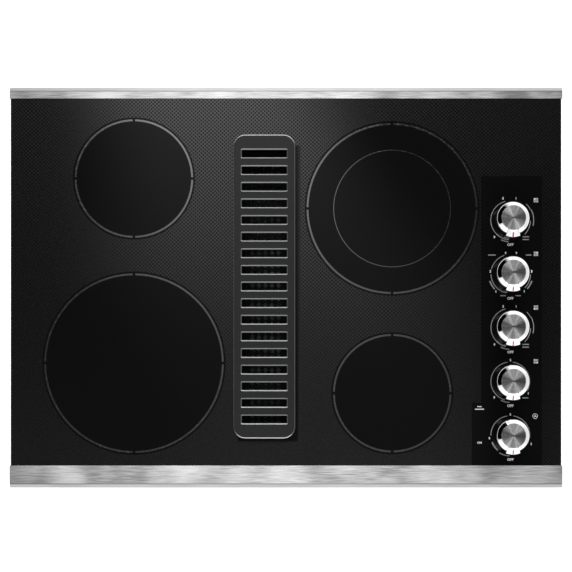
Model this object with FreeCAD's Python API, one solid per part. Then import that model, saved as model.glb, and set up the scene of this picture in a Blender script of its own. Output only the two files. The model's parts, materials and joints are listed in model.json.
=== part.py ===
import FreeCAD, Part
import math
import os

# Downdraft cooktop, in millimetres. X runs to the right, Y to the back and Z up.
# Z is zero at the worktop; X and Y are zero at the middle of the cooktop.

# Overall size and sheet
overall_width = 782.6
overall_depth = 567.0
sheet = 1.0
air_gap = 1.0
run_fit = 0.05
loose_fit = 0.3

# Worktop cut-out, foam seal and burner box
cutout_width = 735.0
cutout_depth = 519.0
box_side_gap = 3.5
box_height = 75.0
box_corner = 12.0
box_bend = 4.0
seal_height = 2.0
seal_width_side = 15.0
seal_width_front = 9.0
seal_set_back = 2.0

# Glass panel and its two trims
glass_thickness = 4.0
glass_corner = 3.0
glass_bevel = 0.6
trim_end = 1.3
trim_sheet = 1.0
trim_bevel = 4.8
trim_bevel_drop = 3.2
trim_hem = 7.0
trim_lift = 1.0
trim_round = 0.7
front_trim_depth = 31.4
rear_trim_depth = 15.7
front_trim_cover = 22.0
rear_trim_cover = 8.4

# Vent grille, throat and filter
vent_x = -30.6
vent_y = 0.8
grille_width = 87.4
grille_length = 428.8
grille_corner = 17.0
grille_height = 9.0
grille_plate = 4.0
grille_round = 2.2
grille_seat = 7.5
grille_skirt_wall = 3.0
grille_skirt_drop = 6.0
slot_count = 17
slot_end = 26.9
slot_side = 12.1
slot_width = 10.4
slot_bevel = 1.7
slot_corner = 0.6
throat_wall_gap = 1.8
throat_drop = 14.0
throat_flange = 14.0
throat_lip = 7.0
vent_seal_height = 1.5
vent_seal_width = 11.0
filter_side_gap = 1.7
filter_height = 14.0
filter_rim = 6.0
filter_groove = 2.0
mesh_height = 2.0
mesh_hole = 8.0
mesh_bar = 1.7

# Plenum and blower
plenum_straight = 57.0
plenum_height = 228.0
plenum_bottom_length = 282.0
plenum_flange = 14.0
blower_drop = 127.0
inlet_radius = 58.0
wheel_radius = 72.0
wheel_width = 78.0
blade_count = 36
blade_depth = 12.5
blade_turn = 6.0
blade_share = 0.75
wheel_inset = 18.0
wheel_disc = 1.5
hub_radius = 9.0
hub_length = 24.0
motor_shaft_radius = 4.0
scroll_gap = 14.0
scroll_step = 12.0
scroll_width = 108.0
scroll_rim = 9.0
scroll_margin = 14.0
outlet_drop = 105.0
outlet_flange = 10.0
motor_plate_sheet = 1.2
motor_radius = 45.0
motor_length = 70.0
motor_boss_radius = 15.0
motor_boss_length = 10.0
collar_radius = 75.4
transition_height = 40.0
collar_length = 55.0
damper_gap = 0.8
damper_sheet = 1.2
spindle_radius = 2.5

# Heating zones: middle of each and radius of its printed ring
rear_left_x = -215.4
rear_left_y = 154.4
rear_left_radius = 82.5
front_left_x = -215.3
front_left_y = -107.1
front_left_radius = 125.8
rear_right_x = 150.2
rear_right_y = 112.0
rear_right_radius = 119.7
front_right_x = 150.4
front_right_y = -149.7
front_right_radius = 82.5
inner_zone_radius = 82.7
pan_margin = 6.0
pan_sheet = 0.8
pan_height = 28.0
pan_top_gap = 2.5
insulation_base = 14.0
insulation_rim = 10.0
ribbon_height = 4.0
ribbon_thick = 1.0
ribbon_pitch = 13.0
limiter_radius = 3.0
limiter_offset = 25.0
limiter_head = 24.0
rail_width = 40.0
rail_foot = 12.0
rail_end_gap = 14.0
leaf_width = 15.0
leaf_length = 60.0
leaf_crown = 18.0
leaf_foot = 8.0
leaf_spacing = 36.0

# Controls
knob_x = 317.6
knob_y = -56.8
knob_pitch = 76.1
knob_count = 5
knob_lift = 3.0
knob_height = 24.0
knob_foot_radius = 22.0
knob_radius = 23.5
knob_rim = 17.4
knob_rim_sag = 0.55
knob_shoulder_radius = 21.4
knob_shoulder = 21.3
knob_top_radius = 17.3
knob_cavity_radius = 18.6
knob_roof = 3.0
knob_boss_radius = 6.5
chin_reach = 26.6
chin_root_half = 7.0
chin_tip_half = 10.2
chin_toe = 18.6
chin_top = 23.6
chin_round = 0.8
cap_radius = 16.9
cap_recess = 1.2
cap_proud = 0.5
cap_bevel = 0.4
cap_fit = 0.1
shaft_radius = 3.0
shaft_flat = 2.0
shaft_grip = 15.0
push_travel = 2.5
grommet_radius = 6.0
grommet_flange_radius = 9.0
grommet_flange = 1.5
bracket_depth = 15.0
bracket_width = 68.0
bracket_foot = 7.5
bracket_end = 38.0
switch_size = 40.0
switch_height = 37.0
switch_boss_radius = 5.0
switch_boss = 5.0
cam_radius = 13.7
cam_height = 13.4
cam_top = 11.3
spring_radius = 3.6
spring_bore = 2.6
spring_length = 8.0
tab_size = 6.3
tab_sheet = 0.8
tab_length = 8.0
lamp_x = 274.0
lamp_y = (-179.0, -226.0)
lamp_radius = 4.0

# Power entry and fixings
gland_x = 330.0
gland_y = 222.0
gland_bore = 8.0
gland_thread = 10.6
gland_hex = 15.0
gland_body = 16.0
gland_neck = 11.0
gland_nut = 5.0
terminal_y = 175.0
terminal_offset = -2.0
terminal_width = 44.0
terminal_depth = 28.0
terminal_height = 18.0
terminal_pitch = 14.0
terminal_slot = 10.0
clamp_reach = 14.0
clamp_end = 9.0
clamp_strap = 30.0
clamp_sheet = 2.0
clamp_tail = 34.0
clamp_lip = 10.0
clamp_screw_radius = 3.0
clamp_pad_radius = 7.0
clamp_pad = 3.0
clamp_head_radius = 7.0
clamp_head = 5.0
clamp_screw_length = 70.0
counter_thickness = 38.0
screw_radius = 2.0
screw_hole = 2.2
screw_head_radius = 4.0
screw_head = 2.5
screw_grip = 7.0
floor_rib_width = 14.0
floor_rib_length = 70.0
floor_rib_row = 95.0
floor_rib_depth = 3.0
floor_slot_width = 5.0
floor_slot_length = 34.0
floor_slot_pitch = 14.0
floor_slot_y = 150.0
floor_tray_rise = 6.0
wall_bead_depth = 2.0
wall_bead_low = 52.0
wall_bead_high = 28.0
wall_bead_slope = 3.0
wall_bead_end = 70.0

# Levels and sizes that follow from the above. A zone is its name, X, Y, ring radius and the
# side on which its limiter head stands.
zones = [("rear_left", rear_left_x, rear_left_y, rear_left_radius, -1),
         ("front_left", front_left_x, front_left_y, front_left_radius, 1),
         ("rear_right", rear_right_x, rear_right_y, rear_right_radius, -1),
         ("front_right", front_right_x, front_right_y, front_right_radius, 1)]
glass_low = seal_height + sheet
glass_top = glass_low + glass_thickness
trim_top = glass_top + trim_sheet
front_edge = -overall_depth / 2
rear_edge = overall_depth / 2
front_lip = front_edge + front_trim_depth
rear_lip = rear_edge - rear_trim_depth
glass_front = front_lip - front_trim_cover
glass_rear = rear_lip + rear_trim_cover
glass_width = overall_width - 2 * trim_end
box_width = cutout_width - 2 * box_side_gap
box_depth = cutout_depth - 2 * box_side_gap
floor_top = glass_low - box_height
floor_low = floor_top - sheet
seal_inner_width = cutout_width + 2 * seal_set_back
seal_inner_depth = cutout_depth + 2 * seal_set_back
flange_width = seal_inner_width + 2 * seal_width_side
flange_depth = seal_inner_depth + 2 * seal_width_front
opening_width = grille_width - 2 * grille_seat
opening_length = grille_length - 2 * grille_seat
slot_pitch = (grille_length - 2 * slot_end) / (slot_count - 1)
slot_length = grille_width - 2 * slot_side
skirt_width = opening_width - 2 * air_gap
skirt_length = opening_length - 2 * air_gap
throat_width = opening_width + 2 * throat_wall_gap
throat_length = opening_length + 2 * throat_wall_gap
throat_low = floor_low - throat_drop
filter_width = opening_width - 2 * filter_side_gap
filter_length = opening_length - 2 * filter_side_gap
filter_low = throat_low + sheet
plenum_width = throat_width + 2 * (sheet + air_gap)
plenum_length = throat_length + 2 * (sheet + air_gap)
plenum_low = floor_low - plenum_height
blower_z = floor_low - blower_drop
scroll_left = vent_x + plenum_width / 2 + sheet
scroll_in = scroll_left + sheet
scroll_right = scroll_in + scroll_width
scroll_start = wheel_radius + scroll_gap
outlet_width = scroll_start + 3 * scroll_step
outlet_z = blower_z - outlet_drop
outlet_x = (scroll_in + scroll_right) / 2
outlet_y = vent_y + outlet_width / 2
motor_left = scroll_right + motor_plate_sheet
motor_right = motor_left + motor_length
wheel_left = scroll_in + wheel_inset
wheel_right = wheel_left + wheel_width
collar_top = outlet_z - sheet - transition_height
collar_low = collar_top - collar_length
spindle_z = collar_top - collar_length / 2
pan_top = glass_low - pan_top_gap
pan_low = pan_top - pan_height
rail_top = pan_low - leaf_crown
knob_base = glass_top + knob_lift
cap_floor = knob_base + knob_height - cap_recess
bracket_top = glass_low - bracket_depth
bracket_low = bracket_top - sheet
cam_high = bracket_low - cam_top
cam_low = cam_high - cam_height
shaft_low = cam_low - push_travel
shaft_high = knob_base + shaft_grip
bracket_left = knob_x - bracket_width / 2
bracket_right = knob_x + bracket_width / 2
knob_places = [knob_y + knob_pitch * (knob_count // 2 - i) for i in range(knob_count)]
clamp_x = box_width / 2 + clamp_reach
flange_screw = throat_width / 2 + sheet + throat_flange * 0.6
wheel_axis = FreeCAD.Vector(scroll_left, vent_y, blower_z)
V = FreeCAD.Vector


def block(x0, x1, y0, y1, z0, z1):
    return Part.makeBox(x1 - x0, y1 - y0, z1 - z0, V(x0, y0, z0))


def rod(radius, x, y, z0, z1):
    return Part.makeCylinder(radius, z1 - z0, V(x, y, z0))


def rod_x(radius, x0, x1, y=vent_y, z=blower_z):
    return Part.makeCylinder(radius, x1 - x0, V(x0, y, z), V(1, 0, 0))


def rod_y(radius, y0, y1, x, z):
    return Part.makeCylinder(radius, y1 - y0, V(x, y0, z), V(0, 1, 0))


def hexagon(radius, x, y, z0, z1):
    points = [V(x + radius * math.cos(math.radians(60 * i)),
                y + radius * math.sin(math.radians(60 * i)), z0) for i in range(7)]
    return Part.Face(Part.makePolygon(points)).extrude(V(0, 0, z1 - z0))


def rounded_block(x, y, width, depth, radius, z0, z1):
    solid = block(x - width / 2, x + width / 2, y - depth / 2, y + depth / 2, z0, z1)
    uprights = [e for e in solid.Edges if abs(e.Vertexes[0].Z - e.Vertexes[1].Z) > 0.5 * (z1 - z0)]
    return solid.makeFillet(radius, uprights)


def edges_at(solid, z):
    return [e for e in solid.Edges if e.BoundBox.ZLength < 1e-6 and abs(e.BoundBox.ZMin - z) < 1e-6]


def frame_block(x, y, width, depth, radius, border, z0, z1):
    outer = rounded_block(x, y, width, depth, radius, z0, z1)
    inner_radius = max(radius - border, 0.5)
    return outer.cut(rounded_block(x, y, width - 2 * border, depth - 2 * border,
                                   inner_radius, z0 - 1, z1 + 1))


def prism_x(points, x0, x1):
    wire = Part.makePolygon([V(x0, y, z) for y, z in points + points[:1]])
    return Part.Face(wire).extrude(V(x1 - x0, 0, 0))


def prism_y(points, y0, y1):
    wire = Part.makePolygon([V(x, y0, z) for x, z in points + points[:1]])
    return Part.Face(wire).extrude(V(0, y1 - y0, 0))


def arc(a, b, c):
    return Part.Arc(a, b, c).toShape()


def line(a, b):
    return Part.LineSegment(a, b).toShape()


def joined(first, *others):
    return first.fuse(list(others)).removeSplitter()


def save(name, *pieces):
    shape = pieces[0] if len(pieces) == 1 else Part.makeCompound(list(pieces))
    shape.exportStep("parts/" + name + ".step")


# Steel trims: a folded strip with closed ends that laps over the glass edge
def trim(lip, edge):
    side = 1 if edge > lip else -1
    reach = abs(edge - lip)
    shoulder = trim_top - trim_bevel_drop
    slant = math.hypot(trim_bevel, trim_bevel_drop)
    inner_run = (trim_sheet * slant + trim_bevel * (trim_bevel_drop - trim_sheet)) / trim_bevel_drop
    inner_rise = shoulder + trim_sheet * (trim_bevel_drop - slant) / trim_bevel
    foot = trim_lift + trim_sheet
    section = [(reach, glass_top), (reach, trim_top), (trim_bevel, trim_top), (0, shoulder),
               (0, trim_lift), (trim_hem, trim_lift), (trim_hem, foot), (trim_sheet, foot),
               (trim_sheet, inner_rise), (inner_run, glass_top)]
    end = [(reach, trim_lift), (reach, trim_top), (trim_bevel, trim_top), (0, shoulder), (0, trim_lift)]
    section = [(edge - side * u, z) for u, z in section]
    end = [(edge - side * u, z) for u, z in end]
    half = overall_width / 2
    strip = joined(prism_x(section, -half, half), prism_x(end, -half, trim_end - half),
                   prism_x(end, half - trim_end, half))
    folds = [e for e in strip.Edges if e.BoundBox.XLength > 0.99 * overall_width
             and e.BoundBox.ZMin > shoulder - 0.01 and abs(e.BoundBox.YMin - lip) > 0.5 * reach]
    return strip.makeFillet(trim_round, folds)


# Glass panel with the vent opening and five shaft holes
def glass_panel():
    middle = (glass_front + glass_rear) / 2
    plate = rounded_block(0, middle, glass_width, glass_rear - glass_front, glass_corner,
                          glass_low, glass_top)
    plate = plate.makeChamfer(glass_bevel, edges_at(plate, glass_top))
    cuts = [rounded_block(vent_x, vent_y, opening_width, opening_length,
                          grille_corner - grille_seat, glass_low - 1, glass_top + 1)]
    for y in knob_places:
        cuts.append(rod(grommet_radius + run_fit, knob_x, y, glass_low - 1, glass_top + 1))
    return plate.cut(cuts)


def counter_seal():
    outer = rounded_block(0, 0, flange_width, flange_depth, box_corner, 0, seal_height)
    return outer.cut(rounded_block(0, 0, seal_inner_width, seal_inner_depth, box_corner,
                                   -1, seal_height + 1))


# Screw points in the burner box floor: X, Y and the level of the head's upper face
def plenum_screws():
    points = []
    for side in (-1, 1):
        for step in (-1.5, -0.5, 0.5, 1.5):
            points.append((vent_x + side * flange_screw, vent_y + step * plenum_length / 4,
                           floor_low - sheet))
    return points


def clamp_screws():
    points = []
    for side in (-1, 1):
        for step in (-1, 1):
            points.append((side * (box_width / 2 - clamp_tail / 2), step * clamp_strap / 4,
                           floor_low - clamp_sheet))
    return points


def bracket_span():
    return knob_places[-1] - bracket_end, knob_places[0] + bracket_end


def bracket_screws():
    low, high = bracket_span()
    return [(x, y, floor_low)
            for x in (bracket_left - bracket_foot / 2, bracket_right + bracket_foot / 2)
            for y in (low + bracket_end, high - bracket_end)]


def rail_lines():
    return [(zones[0][1] + zones[1][1]) / 2, (zones[2][1] + zones[3][1]) / 2]


def rail_screws():
    end = box_depth / 2 - rail_end_gap - rail_foot
    return [(x + side * (rail_width + rail_foot) / 2, y, floor_low)
            for x in rail_lines() for side in (-1, 1) for y in (-end, end)]


def floor_screw_points():
    return plenum_screws() + clamp_screws() + bracket_screws() + rail_screws()


def floor_screws():
    screws = []
    for x, y, z in floor_screw_points():
        head = rod(screw_head_radius, x, y, z - screw_head, z)
        head = head.makeFillet(screw_head * 0.6, edges_at(head, z - screw_head))
        screws.append(joined(head, rod(screw_radius, x, y, z, z + screw_grip)))
    return screws


def screw_holes(points, z0, z1):
    return [rod(screw_hole, x, y, z0, z1) for x, y, z in points]


# Steel burner box with stiffening ribs and cooling slots in its floor
def burner_tub():
    outer = rounded_block(0, 0, box_width, box_depth, box_corner, floor_low, glass_low)
    outer = outer.makeFillet(box_bend, edges_at(outer, floor_low))
    inner = rounded_block(0, 0, box_width - 2 * sheet, box_depth - 2 * sheet, box_corner - sheet,
                          floor_top, glass_low + 1)
    inner = inner.makeFillet(box_bend - sheet, edges_at(inner, floor_top))
    flange = rounded_block(0, 0, flange_width, flange_depth, box_corner, seal_height, glass_low)
    presses = [rounded_block(x, y, length, floor_rib_width, floor_rib_width / 2 - 0.5,
                             floor_low - floor_rib_depth, floor_low + 0.5 * sheet)
               for x, y, length in floor_ribs()]
    hollows = [rounded_block(x, y, length - 2 * sheet, floor_rib_width - 2 * sheet,
                             floor_rib_width / 2 - 0.5 - sheet, floor_low - floor_rib_depth + sheet,
                             floor_top + 1) for x, y, length in floor_ribs()]
    slots = [rounded_block(x, y, floor_slot_width, floor_slot_length, 0.48 * floor_slot_width,
                           floor_low - 1, floor_top + 1) for x, y in floor_slots()]
    throat_hole = rounded_block(vent_x, vent_y, throat_width + 2 * (sheet + air_gap),
                                throat_length + 2 * (sheet + air_gap), 8, floor_low - 1, floor_top + 1)
    gland_hole = rod(gland_thread + run_fit, gland_x, gland_y, floor_low - 1, floor_top + 1)
    holes = screw_holes(floor_screw_points(), floor_low - 1, floor_top + 1)
    tub = joined(outer, flange, *(presses + wall_beads(0)))
    return tub.cut([inner, throat_hole, gland_hole] + hollows + wall_beads(sheet) + slots + holes)


# Four wedges that part a ring on its corners' diagonals
def ring_wedges(x, y, half_x, half_y, reach, z0, z1):
    near = [(-half_x, -half_y), (half_x, -half_y), (half_x, half_y), (-half_x, half_y)]
    far = [(-half_x - reach, -half_y - reach), (half_x + reach, -half_y - reach),
           (half_x + reach, half_y + reach), (-half_x - reach, half_y + reach)]
    wedges = []
    for i in range(4):
        plan = [near[i - 1], far[i - 1], far[i], near[i], near[i - 1]]
        corners = [V(x + u, y + v, z0) for u, v in plan]
        wedges.append(Part.Face(Part.makePolygon(corners)).extrude(V(0, 0, z1 - z0)))
    return wedges


# The box is a shallow floor tray of four panels around the vent, with four wall panels that meet
# on the corners' diagonals
def box_floor(tub):
    low, level = floor_low - 2 * floor_rib_depth, floor_top + floor_tray_rise
    left, right = vent_x - plenum_width / 2, vent_x + plenum_width / 2
    areas = [(-box_width, left, -box_depth, box_depth), (right, box_width, -box_depth, box_depth),
             (left, right, -box_depth, vent_y), (left, right, vent_y, box_depth)]
    return [tub.common(block(x0, x1, y0, y1, low, level)) for x0, x1, y0, y1 in areas]


def box_walls(tub):
    level = floor_top + floor_tray_rise
    reach = flange_width - box_width + box_corner
    wedges = ring_wedges(0, 0, box_width / 2 - box_corner, box_depth / 2 - box_corner, reach,
                         level, level + box_height)
    return [tub.common(wedge) for wedge in wedges]


# Swages in the four walls; the inner copy is set in by one sheet
def wall_beads(inset):
    low, high = glass_low - wall_bead_low, glass_low - wall_bead_high
    beads = []
    for side in (-1, 1):
        for span, wall, prism in ((box_width, box_depth / 2, prism_x), (box_depth, box_width / 2, prism_y)):
            half = span / 2 - wall_bead_end - inset
            face = wall - inset
            section = [(face - 0.5, low), (face, low), (face + wall_bead_depth, low + wall_bead_slope),
                       (face + wall_bead_depth, high - wall_bead_slope), (face, high), (face - 0.5, high)]
            beads.append(prism([(side * u, z) for u, z in section], -half, half))
    return beads


def floor_ribs():
    left = (-box_width / 2 + rail_lines()[0] - rail_width / 2) / 2
    right = (rail_lines()[1] + rail_width / 2 + bracket_left) / 2
    return [(x, row * floor_rib_row, floor_rib_length) for x in (left, right) for row in (-2, -1, 1, 2)]


def floor_slots():
    left = (rail_lines()[0] + rail_width / 2 + vent_x - flange_screw) / 2
    right = (rail_lines()[1] - rail_width / 2 + vent_x + flange_screw) / 2
    return [(x + step * floor_slot_pitch, side * floor_slot_y)
            for x in (left, right) for side in (-1, 1) for step in (-2, -1, 0, 1, 2)]


# Duct between the glass and the plenum, with the ledge that carries the filter
def vent_throat():
    wall = frame_block(vent_x, vent_y, throat_width + 2 * sheet, throat_length + 2 * sheet, 8,
                       sheet, throat_low, glass_low - vent_seal_height)
    top = frame_block(vent_x, vent_y, throat_width + 2 * vent_seal_width,
                      throat_length + 2 * vent_seal_width, 12, vent_seal_width,
                      glass_low - vent_seal_height - sheet, glass_low - vent_seal_height)
    middle = frame_block(vent_x, vent_y, throat_width + 2 * (sheet + throat_flange),
                         throat_length + 2 * (sheet + throat_flange), 12, sheet + throat_flange,
                         floor_top, floor_top + sheet)
    ledge = frame_block(vent_x, vent_y, throat_width + sheet, throat_length + sheet, 7,
                        throat_lip, throat_low, throat_low + sheet)
    return joined(wall, top, middle, ledge).cut(screw_holes(plenum_screws(), floor_top - 1, floor_top + 2))


def vent_seal():
    return frame_block(vent_x, vent_y, throat_width + 2 * vent_seal_width,
                       throat_length + 2 * vent_seal_width, 12, vent_seal_width,
                       glass_low - vent_seal_height, glass_low)


# Folded plenum below the burner box, open to the blower on its right
def plenum_outline(grow):
    half = plenum_length / 2 + grow
    low_half = plenum_bottom_length / 2 + grow
    bend = floor_low - plenum_straight
    low = plenum_low - grow
    points = [(-half, floor_low), (half, floor_low), (half, bend),
              (low_half, low), (-low_half, low), (-half, bend)]
    return [(vent_y + y, z) for y, z in points]


# Two end plates, five wrapper panels that meet on their folds, and four strips of flange
def plenum():
    left, right = vent_x - plenum_width / 2, vent_x + plenum_width / 2
    inner, outer = plenum_outline(0), plenum_outline(sheet)
    holes = [rod_x(inlet_radius + 4, vent_x, scroll_in)]
    holes += [rod_x(screw_hole, vent_x, scroll_in, y, z) for y, z in blower_screw_points()]
    plates = [prism_x(outer, left - sheet, left), prism_x(outer, right, right + sheet).cut(holes)]
    panels = [prism_x([inner[i - 1], outer[i - 1], outer[i], inner[i]], left, right)
              for i in (2, 3, 4, 5, 0)]
    flange = rounded_block(vent_x, vent_y, plenum_width + 2 * (sheet + plenum_flange),
                           plenum_length + 2 * (sheet + plenum_flange), 12, floor_low - sheet, floor_low)
    half = plenum_length / 2 + sheet
    mouth = block(left - sheet, right + sheet, vent_y - half, vent_y + half,
                  floor_low - 2 * sheet, floor_low + 1)
    flange = flange.cut([mouth] + screw_holes(plenum_screws(), floor_low - 2 * sheet, floor_low + 1))
    wedges = ring_wedges(vent_x, vent_y, plenum_width / 2, plenum_length / 2, 2 * plenum_flange,
                         floor_low - 2 * sheet, floor_low + 1)
    return plates + panels + [flange.common(wedge) for wedge in wedges]


# Blower scroll: three growing quarter turns and a straight outlet that faces down
def scroll_face(grow, x):
    first = scroll_start + grow
    second = first + scroll_step
    third = second + scroll_step
    half = math.sqrt(0.5)
    rear = vent_y + scroll_step + third
    a = V(x, vent_y - grow, blower_z - math.sqrt(first ** 2 - grow ** 2))
    b = V(x, vent_y - first, blower_z)
    c = V(x, vent_y + scroll_step, blower_z + second)
    d = V(x, rear, blower_z - scroll_step)
    e = V(x, rear, outlet_z)
    f = V(x, vent_y - grow, outlet_z)
    return Part.Face(Part.Wire([
        arc(a, V(x, vent_y - first * half, blower_z - first * half), b),
        arc(b, V(x, vent_y + scroll_step - second * half, blower_z + second * half), c),
        arc(c, V(x, vent_y + scroll_step + third * half, blower_z - scroll_step + third * half), d),
        line(d, e), line(e, f), line(f, a)]))


def scroll_solid(grow, x0, x1):
    return scroll_face(grow, x0).extrude(V(x1 - x0, 0, 0))


def scroll_plate():
    return (vent_y - scroll_start - scroll_margin, vent_y + outlet_width + scroll_margin,
            outlet_z + sheet, blower_z + scroll_start + scroll_step + scroll_margin)


def blower_screw_points():
    y0, y1, z0, z1 = scroll_plate()
    inset = 0.5 * scroll_margin
    return [(y, z) for y in (y0 + inset, y1 - inset) for z in (z0 + scroll_margin, z1 - inset)]


def cover_screw_points():
    inset = scroll_rim * 0.6
    third = scroll_start + 2 * scroll_step + inset
    diagonal = math.sqrt(0.5)
    return [(vent_y - scroll_start - inset, blower_z),
            (vent_y + scroll_step, blower_z + scroll_start + scroll_step + inset),
            (vent_y + scroll_step + third * diagonal, blower_z - scroll_step + third * diagonal),
            (vent_y + outlet_width + inset, outlet_z + 4 * scroll_rim),
            (vent_y - (scroll_start + inset) * diagonal, blower_z - (scroll_start + inset) * diagonal)]


def scroll_housing():
    y0, y1, z0, z1 = scroll_plate()
    plate = block(scroll_left, scroll_in, y0, y1, z0, z1)
    wrapper = scroll_solid(sheet, scroll_in, scroll_right)
    rim = scroll_solid(scroll_rim, scroll_right - sheet, scroll_right)
    rim = rim.common(block(scroll_in, scroll_right, y0, y1 + scroll_rim, outlet_z, z1 + scroll_rim))
    flange = rounded_block(outlet_x, outlet_y, scroll_width + 2 * outlet_flange,
                           outlet_width + 2 * outlet_flange, 4, outlet_z, outlet_z + sheet)
    mouth = rod_x(inlet_radius + sheet, scroll_in, scroll_in + 0.6 * wheel_inset)
    air = scroll_solid(0, scroll_in, scroll_right + 1)
    shell = joined(plate, wrapper, rim, flange).cut(air)
    shell = shell.cut(block(scroll_in, scroll_right, vent_y, vent_y + outlet_width,
                            outlet_z - 1, outlet_z + 2))
    shell = joined(shell, mouth)
    cuts = [rod_x(inlet_radius, scroll_left - 1, scroll_in + wheel_inset)]
    cuts += [rod_x(screw_hole, scroll_left - 1, scroll_in + 1, y, z) for y, z in blower_screw_points()]
    cuts += [rod_x(screw_hole, scroll_right - 2, scroll_right + 1, y, z) for y, z in cover_screw_points()]
    return shell.cut(cuts)


def motor_plate():
    plate = scroll_solid(scroll_rim, scroll_right, motor_left)
    plate = plate.cut(block(scroll_left, motor_left + 1, vent_y - outlet_width, vent_y + 2 * outlet_width,
                            outlet_z - 1, outlet_z + sheet))
    cuts = [rod_x(motor_shaft_radius * 3, scroll_right - 1, motor_left + 1)]
    cuts += [rod_x(screw_hole, scroll_right - 1, motor_left + 1, y, z) for y, z in cover_screw_points()]
    return plate.cut(cuts)


def side_screw(x, way, y, z):
    head = Part.makeCylinder(screw_head_radius, screw_head, V(x, y, z), V(way, 0, 0))
    shank = Part.makeCylinder(screw_radius, screw_grip, V(x, y, z), V(-way, 0, 0))
    return joined(head, shank)


def blower_screws():
    inner = [side_screw(scroll_in, 1, y, z) for y, z in blower_screw_points()]
    outer = [side_screw(motor_left, 1, y, z) for y, z in cover_screw_points()]
    return inner + outer


def blower_motor():
    can = rod_x(motor_radius, motor_left, motor_right)
    ends = [e for e in can.Edges if e.BoundBox.XLength < 1e-6 and e.BoundBox.XMin > motor_right - 1e-3]
    can = can.makeFillet(motor_radius * 0.15, ends)
    band = rod_x(motor_radius + 1.5, motor_left, motor_left + 0.35 * motor_length)
    boss = rod_x(motor_boss_radius, motor_left, motor_right + motor_boss_length)
    cuts = [rod_x(motor_shaft_radius + run_fit, motor_left - 1, motor_right + motor_boss_length + 1)]
    for step in range(8):
        slot = block(motor_left + 0.5 * motor_length, motor_left + 0.75 * motor_length,
                     vent_y - 4, vent_y + 4, blower_z + motor_radius - 3, blower_z + motor_radius + 3)
        cuts.append(slot.rotate(wheel_axis, V(1, 0, 0), 45 * step + 22.5))
    return joined(can, band, boss).cut(cuts)


def motor_shaft():
    return rod_x(motor_shaft_radius, wheel_right - hub_length, motor_right + 0.6 * motor_boss_length)


def wheel_point(x, radius, degrees):
    turn = math.radians(degrees)
    return V(x, vent_y + radius * math.cos(turn), blower_z + radius * math.sin(turn))


# Squirrel-cage wheel with forward-curved blades
def blower_wheel():
    inner = wheel_radius - blade_depth
    outer = wheel_radius - 0.5 * wheel_disc
    middle = 0.5 * (inner + outer)
    shift = math.degrees(wheel_disc / wheel_radius) * blade_share
    low = [(inner, 0), (middle, 0.25 * blade_turn), (outer, blade_turn)]
    a, b, c = [wheel_point(wheel_left, r, t) for r, t in low]
    d, e, f = [wheel_point(wheel_left, r, t + shift) for r, t in low]
    face = Part.Face(Part.Wire([arc(a, b, c), line(c, f), arc(f, e, d), line(d, a)]))
    blade = face.extrude(V(wheel_width, 0, 0))
    blades = []
    for step in range(blade_count):
        turned = blade.copy()
        blades.append(turned.rotate(wheel_axis, V(1, 0, 0), 360.0 * step / blade_count))
    ring = rod_x(wheel_radius, wheel_left, wheel_left + wheel_disc)
    ring = ring.cut(rod_x(inner + 1, wheel_left - 1, wheel_left + wheel_disc + 1))
    disc = rod_x(wheel_radius, wheel_right - wheel_disc, wheel_right)
    hub = rod_x(hub_radius, wheel_right - hub_length + 2, wheel_right + 2)
    wheel = joined(disc, hub, ring, *blades)
    return wheel.cut(rod_x(motor_shaft_radius, wheel_left, wheel_right + 3))


# Outlet transition from the scroll's rectangle to the round duct collar
def square_wire(half_x, half_y, radius, z):
    x0, x1 = outlet_x - half_x, outlet_x + half_x
    y0, y1 = outlet_y - half_y, outlet_y + half_y
    corner = radius * (1 - math.sqrt(0.5))
    return Part.Wire([
        line(V(x0 + radius, y0, z), V(x1 - radius, y0, z)),
        arc(V(x1 - radius, y0, z), V(x1 - corner, y0 + corner, z), V(x1, y0 + radius, z)),
        line(V(x1, y0 + radius, z), V(x1, y1 - radius, z)),
        arc(V(x1, y1 - radius, z), V(x1 - corner, y1 - corner, z), V(x1 - radius, y1, z)),
        line(V(x1 - radius, y1, z), V(x0 + radius, y1, z)),
        arc(V(x0 + radius, y1, z), V(x0 + corner, y1 - corner, z), V(x0, y1 - radius, z)),
        line(V(x0, y1 - radius, z), V(x0, y0 + radius, z)),
        arc(V(x0, y0 + radius, z), V(x0 + corner, y0 + corner, z), V(x0 + radius, y0, z))])


def round_wire(radius, z):
    share = 36
    angles = []
    for quarter in (-90, 0, 90, 180):
        angles += [quarter - share, quarter + share]
    edges = []
    for index, start in enumerate(angles):
        stop = angles[(index + 1) % len(angles)]
        stop = stop + 360 if stop < start else stop
        spots = [math.radians(start + share_of * (stop - start)) for share_of in (0, 0.5, 1)]
        edges.append(arc(*[V(outlet_x + radius * math.cos(t), outlet_y + radius * math.sin(t), z)
                           for t in spots]))
    return Part.Wire(edges)


def duct_solid(grow, radius):
    top = square_wire(scroll_width / 2 + grow, outlet_width / 2 + grow, 10 + grow, outlet_z)
    return Part.makeLoft([top, round_wire(radius, collar_top)], True, True)


def outlet_transition():
    inner_radius = collar_radius - sheet
    outer = duct_solid(sheet, collar_radius)
    collar = rod(collar_radius, outlet_x, outlet_y, collar_low, collar_top)
    flange = rounded_block(outlet_x, outlet_y, scroll_width + 2 * outlet_flange,
                           outlet_width + 2 * outlet_flange, 4, outlet_z - sheet, outlet_z)
    shell = joined(outer, collar, flange).cut([
        duct_solid(0, inner_radius), rod(inner_radius, outlet_x, outlet_y, collar_low - 1, collar_top)])
    hole = rod_y(spindle_radius + run_fit, outlet_y - collar_radius - 1, outlet_y + collar_radius + 1,
                 outlet_x, spindle_z)
    return shell.cut(hole)


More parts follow.
